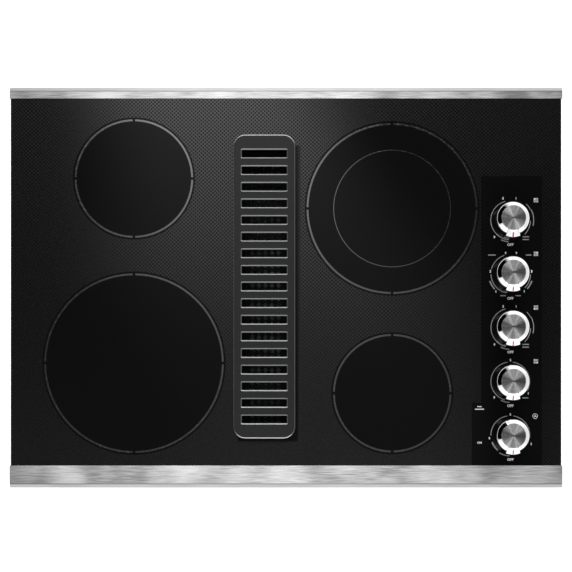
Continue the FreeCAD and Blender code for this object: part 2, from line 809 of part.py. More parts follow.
def damper_flap():
    radius = collar_radius - sheet - damper_gap
    disc = rod(radius, outlet_x, outlet_y, spindle_z - damper_sheet / 2, spindle_z + damper_sheet / 2)
    sleeve = rod_y(spindle_radius + 1.2, outlet_y - radius + 4, outlet_y + radius - 4, outlet_x, spindle_z)
    bore = rod_y(spindle_radius, outlet_y - radius - 1, outlet_y + radius + 1, outlet_x, spindle_z)
    return joined(disc, sleeve).cut(bore)


def damper_spindle():
    half = collar_radius - 0.2
    return rod_y(spindle_radius, outlet_y - half, outlet_y + half, outlet_x, spindle_z)


# Radiant elements
def element_pan(zone):
    name, x, y, radius, side = zone
    outer = radius + pan_margin
    pan = rod(outer, x, y, pan_low, pan_top)
    pan = pan.cut(rod(outer - pan_sheet, x, y, pan_low + pan_sheet, pan_top + 1))
    return pan.cut(limiter_hole(zone))


def limiter_hole(zone):
    name, x, y, radius, side = zone
    reach = radius + pan_margin + 1
    low, high = sorted((-side * (radius - insulation_rim + 2), side * reach))
    return rod_y(limiter_radius + loose_fit, y + low, y + high, x - side * limiter_offset, limiter_z())


def limiter_z():
    return glass_low - 8.0


def element_insulation(zone):
    name, x, y, radius, side = zone
    outer = radius + pan_margin - pan_sheet
    base = pan_low + pan_sheet
    deck = base + insulation_base
    body = rod(outer, x, y, base, glass_low)
    body = body.cut(rod(radius - insulation_rim * 0.5, x, y, deck, glass_low + 1))
    if name == "rear_right":
        fence = rod(inner_zone_radius + 3, x, y, deck - 1, limiter_z() - limiter_radius - 1)
        body = joined(body, fence.cut(rod(inner_zone_radius - 3, x, y, deck - 2, glass_low)))
    return body.cut(limiter_hole(zone))


def heating_ribbon(x, y, start, stop):
    base = pan_low + pan_sheet + insulation_base
    turns = max(int((stop - start) / ribbon_pitch), 1)
    step = (stop - start) / turns / 2

    def half_turns(offset):
        edges = []
        for index in range(2 * turns):
            way = 1 if index % 2 == 0 else -1
            radius = start + step * (index + 0.5)
            middle = x - way * 0.5 * step
            spots = [(middle + way * (radius + offset), y), (middle, y + way * (radius + offset)),
                     (middle - way * (radius + offset), y)]
            edges.append([V(u, v, base) for u, v in spots])
        return edges

    inner = half_turns(0)
    outer = half_turns(ribbon_thick)
    edges = [arc(*spots) for spots in inner]
    edges.append(line(inner[-1][2], outer[-1][2]))
    edges += [arc(*spots) for spots in outer]
    edges.append(line(inner[0][0], outer[0][0]))
    face = Part.Face(Part.Wire(Part.__sortEdges__(edges)))
    return face.extrude(V(0, 0, ribbon_height))


def heating_ribbons():
    ribbons = []
    for name, x, y, radius, side in zones:
        stop = radius - insulation_rim - 4
        if name == "rear_right":
            ribbons.append(heating_ribbon(x, y, inner_zone_radius + 6, stop))
            stop = inner_zone_radius - 8
        ribbons.append(heating_ribbon(x, y, 14, stop))
    return ribbons


def temperature_limiter(zone):
    name, x, y, radius, side = zone
    place = x - side * limiter_offset
    outer = radius + pan_margin
    chord = math.sqrt((radius - insulation_rim) ** 2 - limiter_offset ** 2)
    face = y + side * (outer + 0.5)
    half = limiter_head / 2

    def box_along(near, far, half_width, z0, z1):
        return block(place - half_width, place + half_width, min(near, far), max(near, far), z0, z1)

    low, high = sorted((y - side * (chord - 4), face + side))
    sensor = rod_y(limiter_radius, low, high, place, limiter_z())
    head = box_along(face, face + side * limiter_head, half, limiter_z() - 8, limiter_z() + 8)
    leg = box_along(face, face + side * sheet, 5, pan_low - sheet, limiter_z())
    foot = box_along(face + side * sheet, face - side * limiter_head, 5, pan_low - sheet, pan_low)
    return joined(sensor, head, leg, foot)


def element_rail(x):
    half = rail_width / 2
    end = box_depth / 2 - rail_end_gap
    section = [(-half - rail_foot, floor_top), (-half, floor_top), (-half, rail_top - sheet),
               (half, rail_top - sheet), (half, floor_top), (half + rail_foot, floor_top),
               (half + rail_foot, floor_top + sheet), (half + sheet, floor_top + sheet),
               (half + sheet, rail_top), (-half - sheet, rail_top), (-half - sheet, floor_top + sheet),
               (-half - rail_foot, floor_top + sheet)]
    rail = prism_y([(x + u, z) for u, z in section], -end, end)
    return rail.cut(screw_holes(rail_screws(), floor_top - 1, floor_top + 2))


def leaf_spring(x, y):
    half = leaf_length / 2
    bend = half - leaf_foot
    crown = leaf_foot
    thick = pan_sheet
    section = [(-half, 0), (-bend, 0), (-crown, leaf_crown - thick), (crown, leaf_crown - thick),
               (bend, 0), (half, 0), (half, thick), (bend + 0.4, thick), (crown + 0.4, leaf_crown),
               (-crown - 0.4, leaf_crown), (-bend - 0.4, thick), (-half, thick)]
    return prism_x([(y + u, rail_top + z) for u, z in section], x - leaf_width / 2, x + leaf_width / 2)


def element_springs():
    lines = rail_lines()
    springs = []
    for index, (name, x, y, radius, side) in enumerate(zones):
        for step in (-1, 1):
            springs.append(leaf_spring(lines[index // 2], y + step * leaf_spacing))
    return springs


# Switches and their bracket
def control_bracket():
    low, high = bracket_span()
    x0, x1 = bracket_left, bracket_right
    section = [(x0 - bracket_foot, floor_top), (x0, floor_top), (x0, bracket_low), (x1, bracket_low),
               (x1, floor_top), (x1 + bracket_foot, floor_top), (x1 + bracket_foot, floor_top + sheet),
               (x1 + sheet, floor_top + sheet), (x1 + sheet, bracket_top), (x0 - sheet, bracket_top),
               (x0 - sheet, floor_top + sheet), (x0 - bracket_foot, floor_top + sheet)]
    bracket = prism_y(section, low, high)
    holes = [rod(switch_boss_radius + loose_fit, knob_x, y, bracket_low - 1, bracket_top + 1)
             for y in knob_places]
    return bracket.cut(holes + screw_holes(bracket_screws(), floor_top - 1, floor_top + 2))


def switch_housing(y, cavity_radius, pocket):
    half = switch_size / 2
    low = bracket_low - switch_height
    body = block(knob_x - half, knob_x + half, y - half, y + half, low, bracket_low)
    body = body.makeChamfer(2, edges_at(body, low))
    boss = rod(switch_boss_radius, knob_x, y, bracket_low - 1, bracket_low + switch_boss)
    tabs = [block(knob_x + u - tab_size / 2, knob_x + u + tab_size / 2, y + v - tab_sheet / 2,
                  y + v + tab_sheet / 2, low - tab_length, low + 1) for u in (-10, 10) for v in (-8, 8)]
    cuts = [rod(cavity_radius + loose_fit, knob_x, y, cam_low - loose_fit, cam_high + loose_fit),
            rod(shaft_radius + loose_fit, knob_x, y, cam_high, bracket_low + switch_boss + 1)]
    if pocket:
        cuts.append(rod(spring_radius + loose_fit, knob_x, y, shaft_low - spring_length, cam_low))
    return joined(body, boss, *tabs).cut(cuts)


def flat_rod(y, radius, flat, z0, z1):
    return rod(radius, knob_x, y, z0, z1).cut(
        block(knob_x - 2 * radius, knob_x + 2 * radius, y + flat, y + 3 * radius, z0 - 1, z1 + 1))


def switch_cam(y):
    cam = rod(cam_radius, knob_x, y, cam_low, cam_high)
    notch = block(knob_x + cam_radius - 3, knob_x + cam_radius + 1, y - 3, y + 3, cam_low - 1, cam_low + 5)
    bore = flat_rod(y, shaft_radius + run_fit, shaft_flat + run_fit, cam_low - 1, cam_high + 1)
    return cam.cut([notch, bore])


def knob_shaft(y):
    return flat_rod(y, shaft_radius, shaft_flat, shaft_low, shaft_high)


def fan_shaft(y):
    rotor = rod(cam_radius - 3, knob_x, y, cam_low, cam_high)
    return joined(flat_rod(y, shaft_radius, shaft_flat, cam_low, shaft_high), rotor)


def switch_spring(y):
    outer = rod(spring_radius, knob_x, y, shaft_low - spring_length, shaft_low)
    return outer.cut(rod(spring_bore, knob_x, y, shaft_low - spring_length - 1, shaft_low + 1))


def shaft_seal(y):
    neck = rod(grommet_radius, knob_x, y, glass_low, glass_top)
    flange = rod(grommet_flange_radius, knob_x, y, glass_low - grommet_flange, glass_low)
    hole = rod(shaft_radius + loose_fit, knob_x, y, glass_low - grommet_flange - 1, glass_top + 1)
    return joined(neck, flange).cut(hole)


# Knob: tapered body, rounded rim, sloped shoulder, and a chin at the front that carries the pointer
def knob_body(y):
    z = knob_base
    top = z + knob_height
    chord_r = 0.5 * (knob_radius + knob_shoulder_radius)
    chord_z = z + 0.5 * (knob_rim + knob_shoulder)
    rise = knob_shoulder - knob_rim
    run = knob_radius - knob_shoulder_radius
    chord = math.hypot(rise, run)
    crest = (chord_r + knob_rim_sag * rise / chord, chord_z + knob_rim_sag * run / chord)
    lower = [(0, z), (knob_foot_radius, z), (knob_radius, z + knob_rim)]
    upper = [(knob_shoulder_radius, z + knob_shoulder), (knob_top_radius, top), (0, top), (0, z)]
    lower = [V(knob_x + r, y, h) for r, h in lower]
    upper = [V(knob_x + r, y, h) for r, h in upper]
    rim = arc(lower[-1], V(knob_x + crest[0], y, crest[1]), upper[0])
    outline = Part.Wire(Part.makePolygon(lower).Edges + [rim] + Part.makePolygon(upper).Edges)
    turned = Part.Face(outline).revolve(V(knob_x, y, 0), V(0, 0, 1), 360)
    cavity_top = cap_floor - knob_roof
    hollows = [rod(cap_radius + cap_fit, knob_x, y, cap_floor, top + 1),
               rod(knob_cavity_radius, knob_x, y, z - 1, cavity_top)]
    boss = rod(knob_boss_radius, knob_x, y, z + 1, cavity_top + 1)
    bore = flat_rod(y, shaft_radius + run_fit, shaft_flat + run_fit, z - 1, shaft_high)
    return joined(joined(turned, chin(y)).cut(hollows), boss).cut(bore)


def chin(y):
    z = knob_base
    root = y - 0.8 * knob_top_radius
    tip = y - chin_reach
    shoulder = y - math.sqrt(chin_reach ** 2 - chin_tip_half ** 2)
    left, right = V(knob_x - chin_tip_half, shoulder, z), V(knob_x + chin_tip_half, shoulder, z)
    root_left, root_right = V(knob_x - chin_root_half, root, z), V(knob_x + chin_root_half, root, z)
    plan = Part.Face(Part.Wire([line(root_left, left), arc(left, V(knob_x, tip, z), right),
                                line(right, root_right), line(root_right, root_left)]))
    slope = (chin_top - chin_toe) / (chin_reach - knob_top_radius)
    crest = y - knob_top_radius + (knob_height - chin_top) / slope
    side = [(root, z), (tip - 1, z), (tip - 1, z + chin_toe - slope),
            (crest, z + knob_height), (root, z + knob_height)]
    fin = plan.extrude(V(0, 0, knob_height)).common(
        prism_x(side, knob_x - 2 * chin_root_half, knob_x + 2 * chin_root_half))
    ridges = [e for e in fin.Edges if e.BoundBox.YMax < y - 0.9 * knob_top_radius
              and e.BoundBox.ZMin > z + chin_toe - 1]
    return fin.makeFillet(chin_round, ridges)


def knob_cap(y):
    cap = rod(cap_radius, knob_x, y, cap_floor, cap_floor + cap_recess + cap_proud)
    return cap.makeChamfer(cap_bevel, edges_at(cap, cap_floor + cap_recess + cap_proud))


def indicator_lamp(y):
    holder = block(lamp_x - 7, bracket_left - sheet, y - 7, y + 7, bracket_top - 14, bracket_top - 2)
    lens = rod(lamp_radius, lamp_x, y, bracket_top - 3, glass_low - 0.5)
    return joined(holder, lens)


# Vent grille with bevelled slots and a skirt that locates it in the glass
def vent_grille():
    top = glass_top + grille_height
    body = rounded_block(vent_x, vent_y, grille_width, grille_length, grille_corner, glass_top, top)
    body = body.makeFillet(grille_round, edges_at(body, top))
    skirt = rounded_block(vent_x, vent_y, skirt_width, skirt_length, grille_corner - grille_seat - air_gap,
                          glass_top - grille_skirt_drop, glass_top + 1)
    hollow = rounded_block(vent_x, vent_y, skirt_width - 2 * grille_skirt_wall,
                           skirt_length - 2 * grille_skirt_wall, 5, glass_top - grille_skirt_drop - 1,
                           top - grille_plate)
    slots = []
    for index in range(slot_count):
        y = vent_y + slot_pitch * (index - (slot_count - 1) / 2)
        slots.append(rounded_block(vent_x, y, slot_length, slot_width, slot_corner,
                                   top - grille_plate - 1, top + 1))
    grille = joined(body, skirt).cut([hollow] + slots)
    rims = [e for e in edges_at(grille, top)
            if abs(e.BoundBox.XMin - vent_x) < slot_length / 2 + 0.1
            and abs(e.BoundBox.XMax - vent_x) < slot_length / 2 + 0.1
            and abs(e.BoundBox.YMax - vent_y) < slot_pitch * slot_count / 2]
    return grille.makeChamfer(slot_bevel, rims)


# Grease filter: a rim with a groove that holds the net
def filter_frame():
    rim = frame_block(vent_x, vent_y, filter_width, filter_length, 6, filter_rim, filter_low,
                      filter_low + filter_height)
    return rim.cut(mesh_block())


def mesh_block():
    middle = filter_low + filter_height / 2
    width = filter_width - 2 * filter_rim + 2 * filter_groove
    length = filter_length - 2 * filter_rim + 2 * filter_groove
    return block(vent_x - width / 2, vent_x + width / 2, vent_y - length / 2, vent_y + length / 2,
                 middle - mesh_height / 2, middle + mesh_height / 2)


def filter_mesh():
    plate = mesh_block()
    edges = plate.BoundBox
    low = edges.ZMin
    pitch = mesh_hole + mesh_bar
    across = int((filter_width - 2 * filter_rim) / pitch)
    along = int((filter_length - 2 * filter_rim) / pitch)
    outer = Part.makePolygon([V(edges.XMin, edges.YMin, low), V(edges.XMax, edges.YMin, low),
                              V(edges.XMax, edges.YMax, low), V(edges.XMin, edges.YMax, low),
                              V(edges.XMin, edges.YMin, low)])
    wires = [outer]
    half = mesh_hole / 2
    for i in range(across):
        for j in range(along):
            x = vent_x + pitch * (i - (across - 1) / 2)
            y = vent_y + pitch * (j - (along - 1) / 2)
            spots = [(x - half, y), (x, y - half), (x + half, y), (x, y + half), (x - half, y)]
            wires.append(Part.makePolygon([V(u, v, low) for u, v in spots]))
    return Part.makeFace(wires, "Part::FaceMakerBullseye").extrude(V(0, 0, mesh_height))


# Power entry and hold-down clamps
def conduit_gland():
    body = hexagon(gland_hex, gland_x, gland_y, floor_low - gland_body, floor_low)
    neck = rod(gland_thread, gland_x, gland_y, floor_low - 1, floor_low + gland_neck)
    bore = rod(gland_bore, gland_x, gland_y, floor_low - gland_body - 1, floor_low + gland_neck + 1)
    nut = hexagon(gland_hex, gland_x, gland_y, floor_top, floor_top + gland_nut)
    nut = nut.cut(rod(gland_thread, gland_x, gland_y, floor_top - 1, floor_top + gland_nut + 1))
    return joined(body, neck).cut(bore), nut


def terminal_block():
    middle = gland_x + terminal_offset
    half = terminal_depth / 2
    base = block(middle - terminal_width / 2, middle + terminal_width / 2,
                 terminal_y - half, terminal_y + half, floor_top, floor_top + terminal_height)
    cuts = [block(x - terminal_slot / 2, x + terminal_slot / 2, terminal_y - half + 4, terminal_y + half + 1,
                  floor_top + terminal_height / 2, floor_top + terminal_height + 1)
            for x in (middle - terminal_pitch, middle, middle + terminal_pitch)]
    return base.cut(cuts)


def clamp_bracket(side):
    inner = box_width / 2 - clamp_tail
    outer = clamp_x + clamp_end
    half = clamp_strap / 2
    low = floor_low - clamp_sheet
    x0, x1 = sorted((side * inner, side * outer))
    strap = block(x0, x1, -half, half, low, floor_low)
    e0, e1 = sorted((side * (outer - clamp_sheet), side * outer))
    lip = block(e0, e1, -half, half, low - clamp_lip, floor_low)
    hole = rod(clamp_screw_radius + run_fit, side * clamp_x, 0, low - 1, floor_low + 1)
    return joined(strap, lip).cut([hole] + screw_holes(clamp_screws(), low - 1, floor_low + 1))


def clamp_screw(side):
    x = side * clamp_x
    top = -counter_thickness
    pad = rod(clamp_pad_radius, x, 0, top - clamp_pad, top)
    shank = rod(clamp_screw_radius, x, 0, top - clamp_screw_length, top - 1)
    head = hexagon(clamp_head_radius, x, 0, top - clamp_screw_length, top - clamp_screw_length + clamp_head)
    return joined(pad, shank, head)


os.makedirs("parts", exist_ok=True)
save("glass_panel", glass_panel())
save("front_trim", trim(front_lip, front_edge))
save("rear_trim", trim(rear_lip, rear_edge))
save("counter_seal", counter_seal())
tub = burner_tub()
save("box_floor", *box_floor(tub))
save("box_walls", *box_walls(tub))
save("vent_throat", vent_throat())
save("vent_seal", vent_seal())
save("plenum", *plenum())
save("scroll_housing", scroll_housing())
save("motor_plate", motor_plate())
save("blower_motor", blower_motor())
save("motor_shaft", motor_shaft())
save("blower_wheel", blower_wheel())
save("outlet_transition", outlet_transition())
save("damper_flap", damper_flap())
save("damper_spindle", damper_spindle())
for zone in zones:
    save("pan_" + zone[0], element_pan(zone))
save("element_insulation", *[element_insulation(zone) for zone in zones])
save("heating_ribbons", *heating_ribbons())
save("temperature_limiters", *[temperature_limiter(zone) for zone in zones])
save("element_rails", *[element_rail(x) for x in rail_lines()])
save("element_springs", *element_springs())
save("control_bracket", control_bracket())
save("zone_switches", *[switch_housing(y, cam_radius, True) for y in knob_places[:-1]])
save("fan_switch", switch_housing(knob_places[-1], cam_radius - 3, False))
save("switch_springs", *[switch_spring(y) for y in knob_places[:-1]])
save("shaft_seals", *[shaft_seal(y) for y in knob_places])
for number, y in enumerate(knob_places[:-1], 1):
    save("cam_%d" % number, switch_cam(y))
    save("shaft_%d" % number, knob_shaft(y))
    save("knob_%d" % number, knob_body(y))
    save("cap_%d" % number, knob_cap(y))
save("fan_shaft", fan_shaft(knob_places[-1]))
save("fan_knob", knob_body(knob_places[-1]))
save("fan_cap", knob_cap(knob_places[-1]))
save("indicator_lamps", *[indicator_lamp(y) for y in lamp_y])
save("vent_grille", vent_grille())
save("filter_frame", filter_frame())
save("filter_mesh", filter_mesh())
save("conduit_gland", *conduit_gland())
save("terminal_block", terminal_block())
save("clamp_brackets", clamp_bracket(-1), clamp_bracket(1))
save("clamp_screw_left", clamp_screw(-1))
save("clamp_screw_right", clamp_screw(1))
save("sheet_screws", *(floor_screws() + blower_screws()))
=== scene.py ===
import bpy
import bmesh
import json
import math
from mathutils import Matrix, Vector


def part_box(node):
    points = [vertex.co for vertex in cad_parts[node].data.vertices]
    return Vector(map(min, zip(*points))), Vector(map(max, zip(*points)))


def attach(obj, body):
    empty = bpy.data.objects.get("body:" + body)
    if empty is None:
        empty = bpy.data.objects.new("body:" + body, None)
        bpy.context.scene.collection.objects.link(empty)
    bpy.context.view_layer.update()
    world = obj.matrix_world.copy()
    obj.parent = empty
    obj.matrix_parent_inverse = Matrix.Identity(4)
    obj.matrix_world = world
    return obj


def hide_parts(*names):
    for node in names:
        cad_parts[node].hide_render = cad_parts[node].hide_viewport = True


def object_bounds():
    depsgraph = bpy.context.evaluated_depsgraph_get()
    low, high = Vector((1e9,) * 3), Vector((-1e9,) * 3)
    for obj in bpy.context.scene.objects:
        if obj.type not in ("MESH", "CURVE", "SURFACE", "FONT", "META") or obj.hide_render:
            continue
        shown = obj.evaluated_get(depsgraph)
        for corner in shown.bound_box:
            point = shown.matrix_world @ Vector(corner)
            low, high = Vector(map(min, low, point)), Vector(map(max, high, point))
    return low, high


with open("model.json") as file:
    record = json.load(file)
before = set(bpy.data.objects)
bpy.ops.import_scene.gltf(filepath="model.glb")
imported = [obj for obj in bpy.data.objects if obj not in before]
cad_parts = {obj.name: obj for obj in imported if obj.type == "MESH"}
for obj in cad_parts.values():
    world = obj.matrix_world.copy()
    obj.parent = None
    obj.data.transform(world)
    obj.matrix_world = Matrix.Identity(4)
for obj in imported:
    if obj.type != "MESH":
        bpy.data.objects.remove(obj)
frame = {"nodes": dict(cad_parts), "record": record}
cadLow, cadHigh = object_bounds()  # the solids' own box, before anything is added
nodes = frame["nodes"]
scene = bpy.context.scene
scene.view_settings.view_transform = "Standard"
mm = 0.001
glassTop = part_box("glass_panel")[1].z
print("frame loaded with", len(nodes), "nodes")


# small helpers
def hexLinear(code):
    parts = [int(code[i:i + 2], 16) / 255 for i in (1, 3, 5)]
    return [p / 12.92 if p <= 0.04045 else ((p + 0.055) / 1.055) ** 2.4 for p in parts] + [1.0]


# inputs go by socket name or number, or as a list in the sockets' order; a node among them gives
# its first output
def addNode(tree, kind, inputs=(), **settings):
    node = tree.nodes.new("ShaderNode" + kind)
    for key, value in settings.items():
        setattr(node, key, value)
    pairs = inputs.items() if isinstance(inputs, dict) else enumerate(inputs)
    for key, value in pairs:
        if isinstance(value, bpy.types.Node):
            value = value.outputs[0]
        if isinstance(value, bpy.types.NodeSocket):
            tree.links.new(value, node.inputs[key])
        else:
            node.inputs[key].default_value = value
    return node


def startMaterial(name, **fixed):
    material = bpy.data.materials.new(name)
    material.use_nodes = True
    tree = material.node_tree
    shader = tree.nodes["Principled BSDF"]
    for key, value in fixed.items():
        shader.inputs[key].default_value = value
    coords = addNode(tree, "TexCoord").outputs["Object"]
    return material, tree, shader, coords


def makePiece(name, bm, material, body):
    bmesh.ops.recalc_face_normals(bm, faces=bm.faces)
    mesh = bpy.data.meshes.new(name)
    bm.to_mesh(mesh)
    bm.free()
    mesh.materials.append(material)
    piece = bpy.data.objects.new(name, mesh)
    scene.collection.objects.link(piece)
    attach(piece, body)
    return piece


# middle of a knob's cap, which is on the knob's axis
def knobAxis(knob):
    low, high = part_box("fan_cap" if knob == "fan_knob" else knob.replace("knob", "cap"))
    return (low.x + high.x) / 2, (low.y + high.y) / 2


# camera straight down, a little in front of the middle, as the knobs' sides show
cameraSet = {"height": 1750 * mm, "standY": -150 * mm, "frameWidth": 810.2 * mm,
             "frameMidY": 2.2 * mm, "sensor": 36}
lensData = bpy.data.cameras.new("photoCamera")
lensData.sensor_width = cameraSet["sensor"]
lensData.lens = cameraSet["sensor"] * cameraSet["height"] / cameraSet["frameWidth"]
lensData.shift_y = (cameraSet["frameMidY"] - cameraSet["standY"]) / cameraSet["frameWidth"]
camera = bpy.data.objects.new("photoCamera", lensData)
camera.location = (0, cameraSet["standY"], glassTop + cameraSet["height"])
scene.collection.objects.link(camera)
scene.camera = camera
print("camera set")

# studio: white floor, a sky of soft boxes and one large lamp
studio = {"floorSize": 80.0, "floorColour": "#e4e4e4", "floorRough": 0.8, "floorGlow": 0.7,
          "lampPower": 14, "lampSize": 1.0, "lampPlace": (-0.1, 2.3, 2.0)}
floorBm = bmesh.new()
bmesh.ops.create_grid(floorBm, x_segments=1, y_segments=1, size=studio["floorSize"] / 2,
                      matrix=Matrix.Translation((0, 0, cadLow.z)))
floorMesh = bpy.data.meshes.new("floor")
floorBm.to_mesh(floorMesh)
floorBm.free()
floor = bpy.data.objects.new("floor", floorMesh)
scene.collection.objects.link(floor)
floorPaint, tree, shader, coords = startMaterial("floorPaint", Roughness=studio["floorRough"])
shader.inputs["Base Color"].default_value = hexLinear(studio["floorColour"])
shader.inputs["Emission Color"].default_value = (1, 1, 1, 1)
rays = addNode(tree, "LightPath").outputs
seen = rays["Is Camera Ray"]
for kind in ("Is Glossy Ray", "Is Transmission Ray"):
    seen = addNode(tree, "Math", [seen, rays[kind]], operation="MAXIMUM")
glow = addNode(tree, "Math", [seen, studio["floorGlow"]], operation="MULTIPLY")
tree.links.new(glow.outputs[0], shader.inputs["Emission Strength"])
floorMesh.materials.append(floorPaint)

# strengths of the sky's parts, and spans over which they come and go: overhead a span is in the
# heading's X or Y, where 0 is straight up, and round the sides in X or Y of the level heading
skyLight = {"strip": 1.25, "stripLow": 0.07, "stripSlant": 0.347, "stripShift": -0.0227,
            "stripEdge": (0.05, 0.158), "stripSpan": (-0.06, 0.24), "stripGrowth": 2.0,
            "taperSpan": (0.1, 0.23), "taper": (0.89, 1.29), "dimSpan": (0.06, -0.06), "dim": (0.08, 0.14),
            "boxes": 2.35, "rearBox": (0.27, 0.36), "frontBox": (-0.12, -0.2),
            "boxEnds": 0.1, "boxEndSpan": (0.05, 0.21), "duskSpan": (0.26, 0.5),
            "card": 0.75, "cardLeft": (0.152, 0.166), "cardRight": (0.215, 0.2),
            "cardBack": (0.178, 0.165), "cardFront": (-0.12, -0.09),
            "sides": 1.0, "ends": 1.5, "endSpan": (0.3, 0.8), "shade": 0.0,
            "flagSide": (0.0, -0.45), "flagFront": (-0.4, -0.2), "flagFoot": (0.06, 0.26),
            "browSpan": (0.15, 0.5), "brow": (0.34, 0.6), "browBlend": (0.0, 0.1)}
world = bpy.data.worlds.new("studioSky")
world.use_nodes = True
scene.world = world
tree = world.node_tree
heading = addNode(tree, "TexCoord").outputs["Generated"]
eastward, northward, upward = addNode(tree, "SeparateXYZ", [heading]).outputs
# slanted strip overhead, mirrored by the glass: brightest and narrowest towards the back
across = addNode(tree, "Math", [northward, skyLight["stripSlant"], skyLight["stripShift"]],
                 operation="MULTIPLY_ADD")
across = addNode(tree, "Math", [across, eastward], operation="ADD")
across = addNode(tree, "Math", [across], operation="ABSOLUTE")
taper = addNode(tree, "MapRange", [northward, *skyLight["taperSpan"], *skyLight["taper"]])
across = addNode(tree, "Math", [across, taper], operation="MULTIPLY")
across = addNode(tree, "MapRange", [across, *skyLight["stripEdge"], 1.0, 0.0],
                 interpolation_type="SMOOTHSTEP")
along = addNode(tree, "MapRange", [northward, *skyLight["stripSpan"], 0.0, 1.0])
along = addNode(tree, "Math", [along, skyLight["stripGrowth"]], operation="POWER")
along = addNode(tree, "Math", [along, skyLight["strip"], skyLight["stripLow"]], operation="MULTIPLY_ADD")
# the rest of the overhead is dim, a little less so towards the front
dim = addNode(tree, "MapRange", [northward, *skyLight["dimSpan"], *skyLight["dim"]])
strip = addNode(tree, "Math", [across, along, dim], operation="MULTIPLY_ADD")
# bright boxes in front and behind, which the brushed steel and the spun caps gather
rearBox, frontBox = [addNode(tree, "MapRange", [northward, *skyLight[span], 0.0, skyLight["boxes"]],
                             interpolation_type="SMOOTHSTEP") for span in ("rearBox", "frontBox")]
boxes = addNode(tree, "Math", [rearBox, frontBox], operation="ADD")
sideways = addNode(tree, "Math", [eastward], operation="ABSOLUTE")
ends = addNode(tree, "MapRange", [sideways, *skyLight["boxEndSpan"], 1.0, skyLight["boxEnds"]],
               interpolation_type="SMOOTHSTEP")
overhead = addNode(tree, "Math", [boxes, ends, strip], operation="MULTIPLY_ADD")
dusk = addNode(tree, "MapRange", [sideways, *skyLight["duskSpan"], 1.0, 0.0],
               interpolation_type="SMOOTHSTEP")
overhead = addNode(tree, "Math", [overhead, dusk], operation="MULTIPLY")
# dark card that the control panel and its caps mirror
card = skyLight["card"]
for way, span in ((eastward, "cardLeft"), (eastward, "cardRight"),
                  (northward, "cardBack"), (northward, "cardFront")):
    edge = addNode(tree, "MapRange", [way, *skyLight[span], 0.0, 1.0])
    card = addNode(tree, "Math", [card, edge], operation="MULTIPLY")
uncovered = addNode(tree, "Math", [1.0, card], operation="SUBTRACT")
overhead = addNode(tree, "Math", [overhead, uncovered], operation="MULTIPLY")
# white surround, but a dark flag from the left to the back above eye height
level = addNode(tree, "VectorMath", [heading, (1, 1, 0)], operation="MULTIPLY")
level = addNode(tree, "VectorMath", [level], operation="NORMALIZE")
levelEast, levelNorth = addNode(tree, "SeparateXYZ", [level]).outputs[:2]
flag = 1.0
for way, span in ((levelEast, "flagSide"), (levelNorth, "flagFront"), (upward, "flagFoot")):
    edge = addNode(tree, "MapRange", [way, *skyLight[span], 0.0, 1.0], interpolation_type="SMOOTHSTEP")
    flag = addNode(tree, "Math", [flag, edge], operation="MULTIPLY")
endways = addNode(tree, "Math", [levelNorth], operation="ABSOLUTE")
walls = addNode(tree, "MapRange", [endways, *skyLight["endSpan"], skyLight["sides"], skyLight["ends"]],
                interpolation_type="SMOOTHSTEP")
surround = addNode(tree, "Mix", {0: flag, 2: walls, 3: skyLight["shade"]})
# the surround stands lower at the sides than at the ends
brow = addNode(tree, "MapRange", [endways, *skyLight["browSpan"], *skyLight["brow"]],
               interpolation_type="SMOOTHSTEP")
high = addNode(tree, "Math", [upward, brow], operation="SUBTRACT")
high = addNode(tree, "MapRange", [high, *skyLight["browBlend"], 0.0, 1.0], interpolation_type="SMOOTHSTEP")
sky = addNode(tree, "Mix", {0: high, 2: surround, 3: overhead})
tree.links.new(sky.outputs[0], tree.nodes["Background"].inputs["Strength"])
tree.nodes["Background"].inputs["Color"].default_value = (1, 1, 1, 1)

lamp = bpy.data.lights.new("softBox", "AREA")
lamp.energy, lamp.size = studio["lampPower"], studio["lampSize"]
lampObject = bpy.data.objects.new("softBox", lamp)
lampObject.location = studio["lampPlace"]
lampObject.rotation_euler = (-lampObject.location).to_track_quat("-Z", "Y").to_euler()
scene.collection.objects.link(lampObject)
print("studio set")

# printed layout on the glass, in millimetres; an arc has a step for each arcStep of degrees times radius
zonePrint = {"line": 2.6, "gap": 3.7, "clear": 2.7, "ink": 0.04, "stroke": 0.19,
             "arcStep": 140, "leastSteps": 4, "innerRadius": 82.7, "innerLine": 1.0,
             "zones": {"rearLeft": (-215.4, 154.4, 82.5), "frontLeft": (-215.3, -107.1, 125.8),
                       "rearRight": (150.2, 112.0, 119.7), "frontRight": (150.4, -149.7, 82.5)}}
dotPrint = {"pitchX": 5.45, "pitchY": 5.15, "radius": 1.4, "soft": 0.1, "skin": 0.1,
            "colour": "#303030", "ground": "#505050", "glass": "#0e0e0e",
            "glassRough": 0.03, "groundRough": 0.08, "dotRough": 0.28,
            "controlLeft": 276.4, "controlRight": 362.4, "controlTop": 157.7,
            "lampLeft": 263.1, "lampTop": -162.8, "ventShadowWidth": 6.0, "ventShadowFade": 3.0, "ventShadowTop": 14.0}


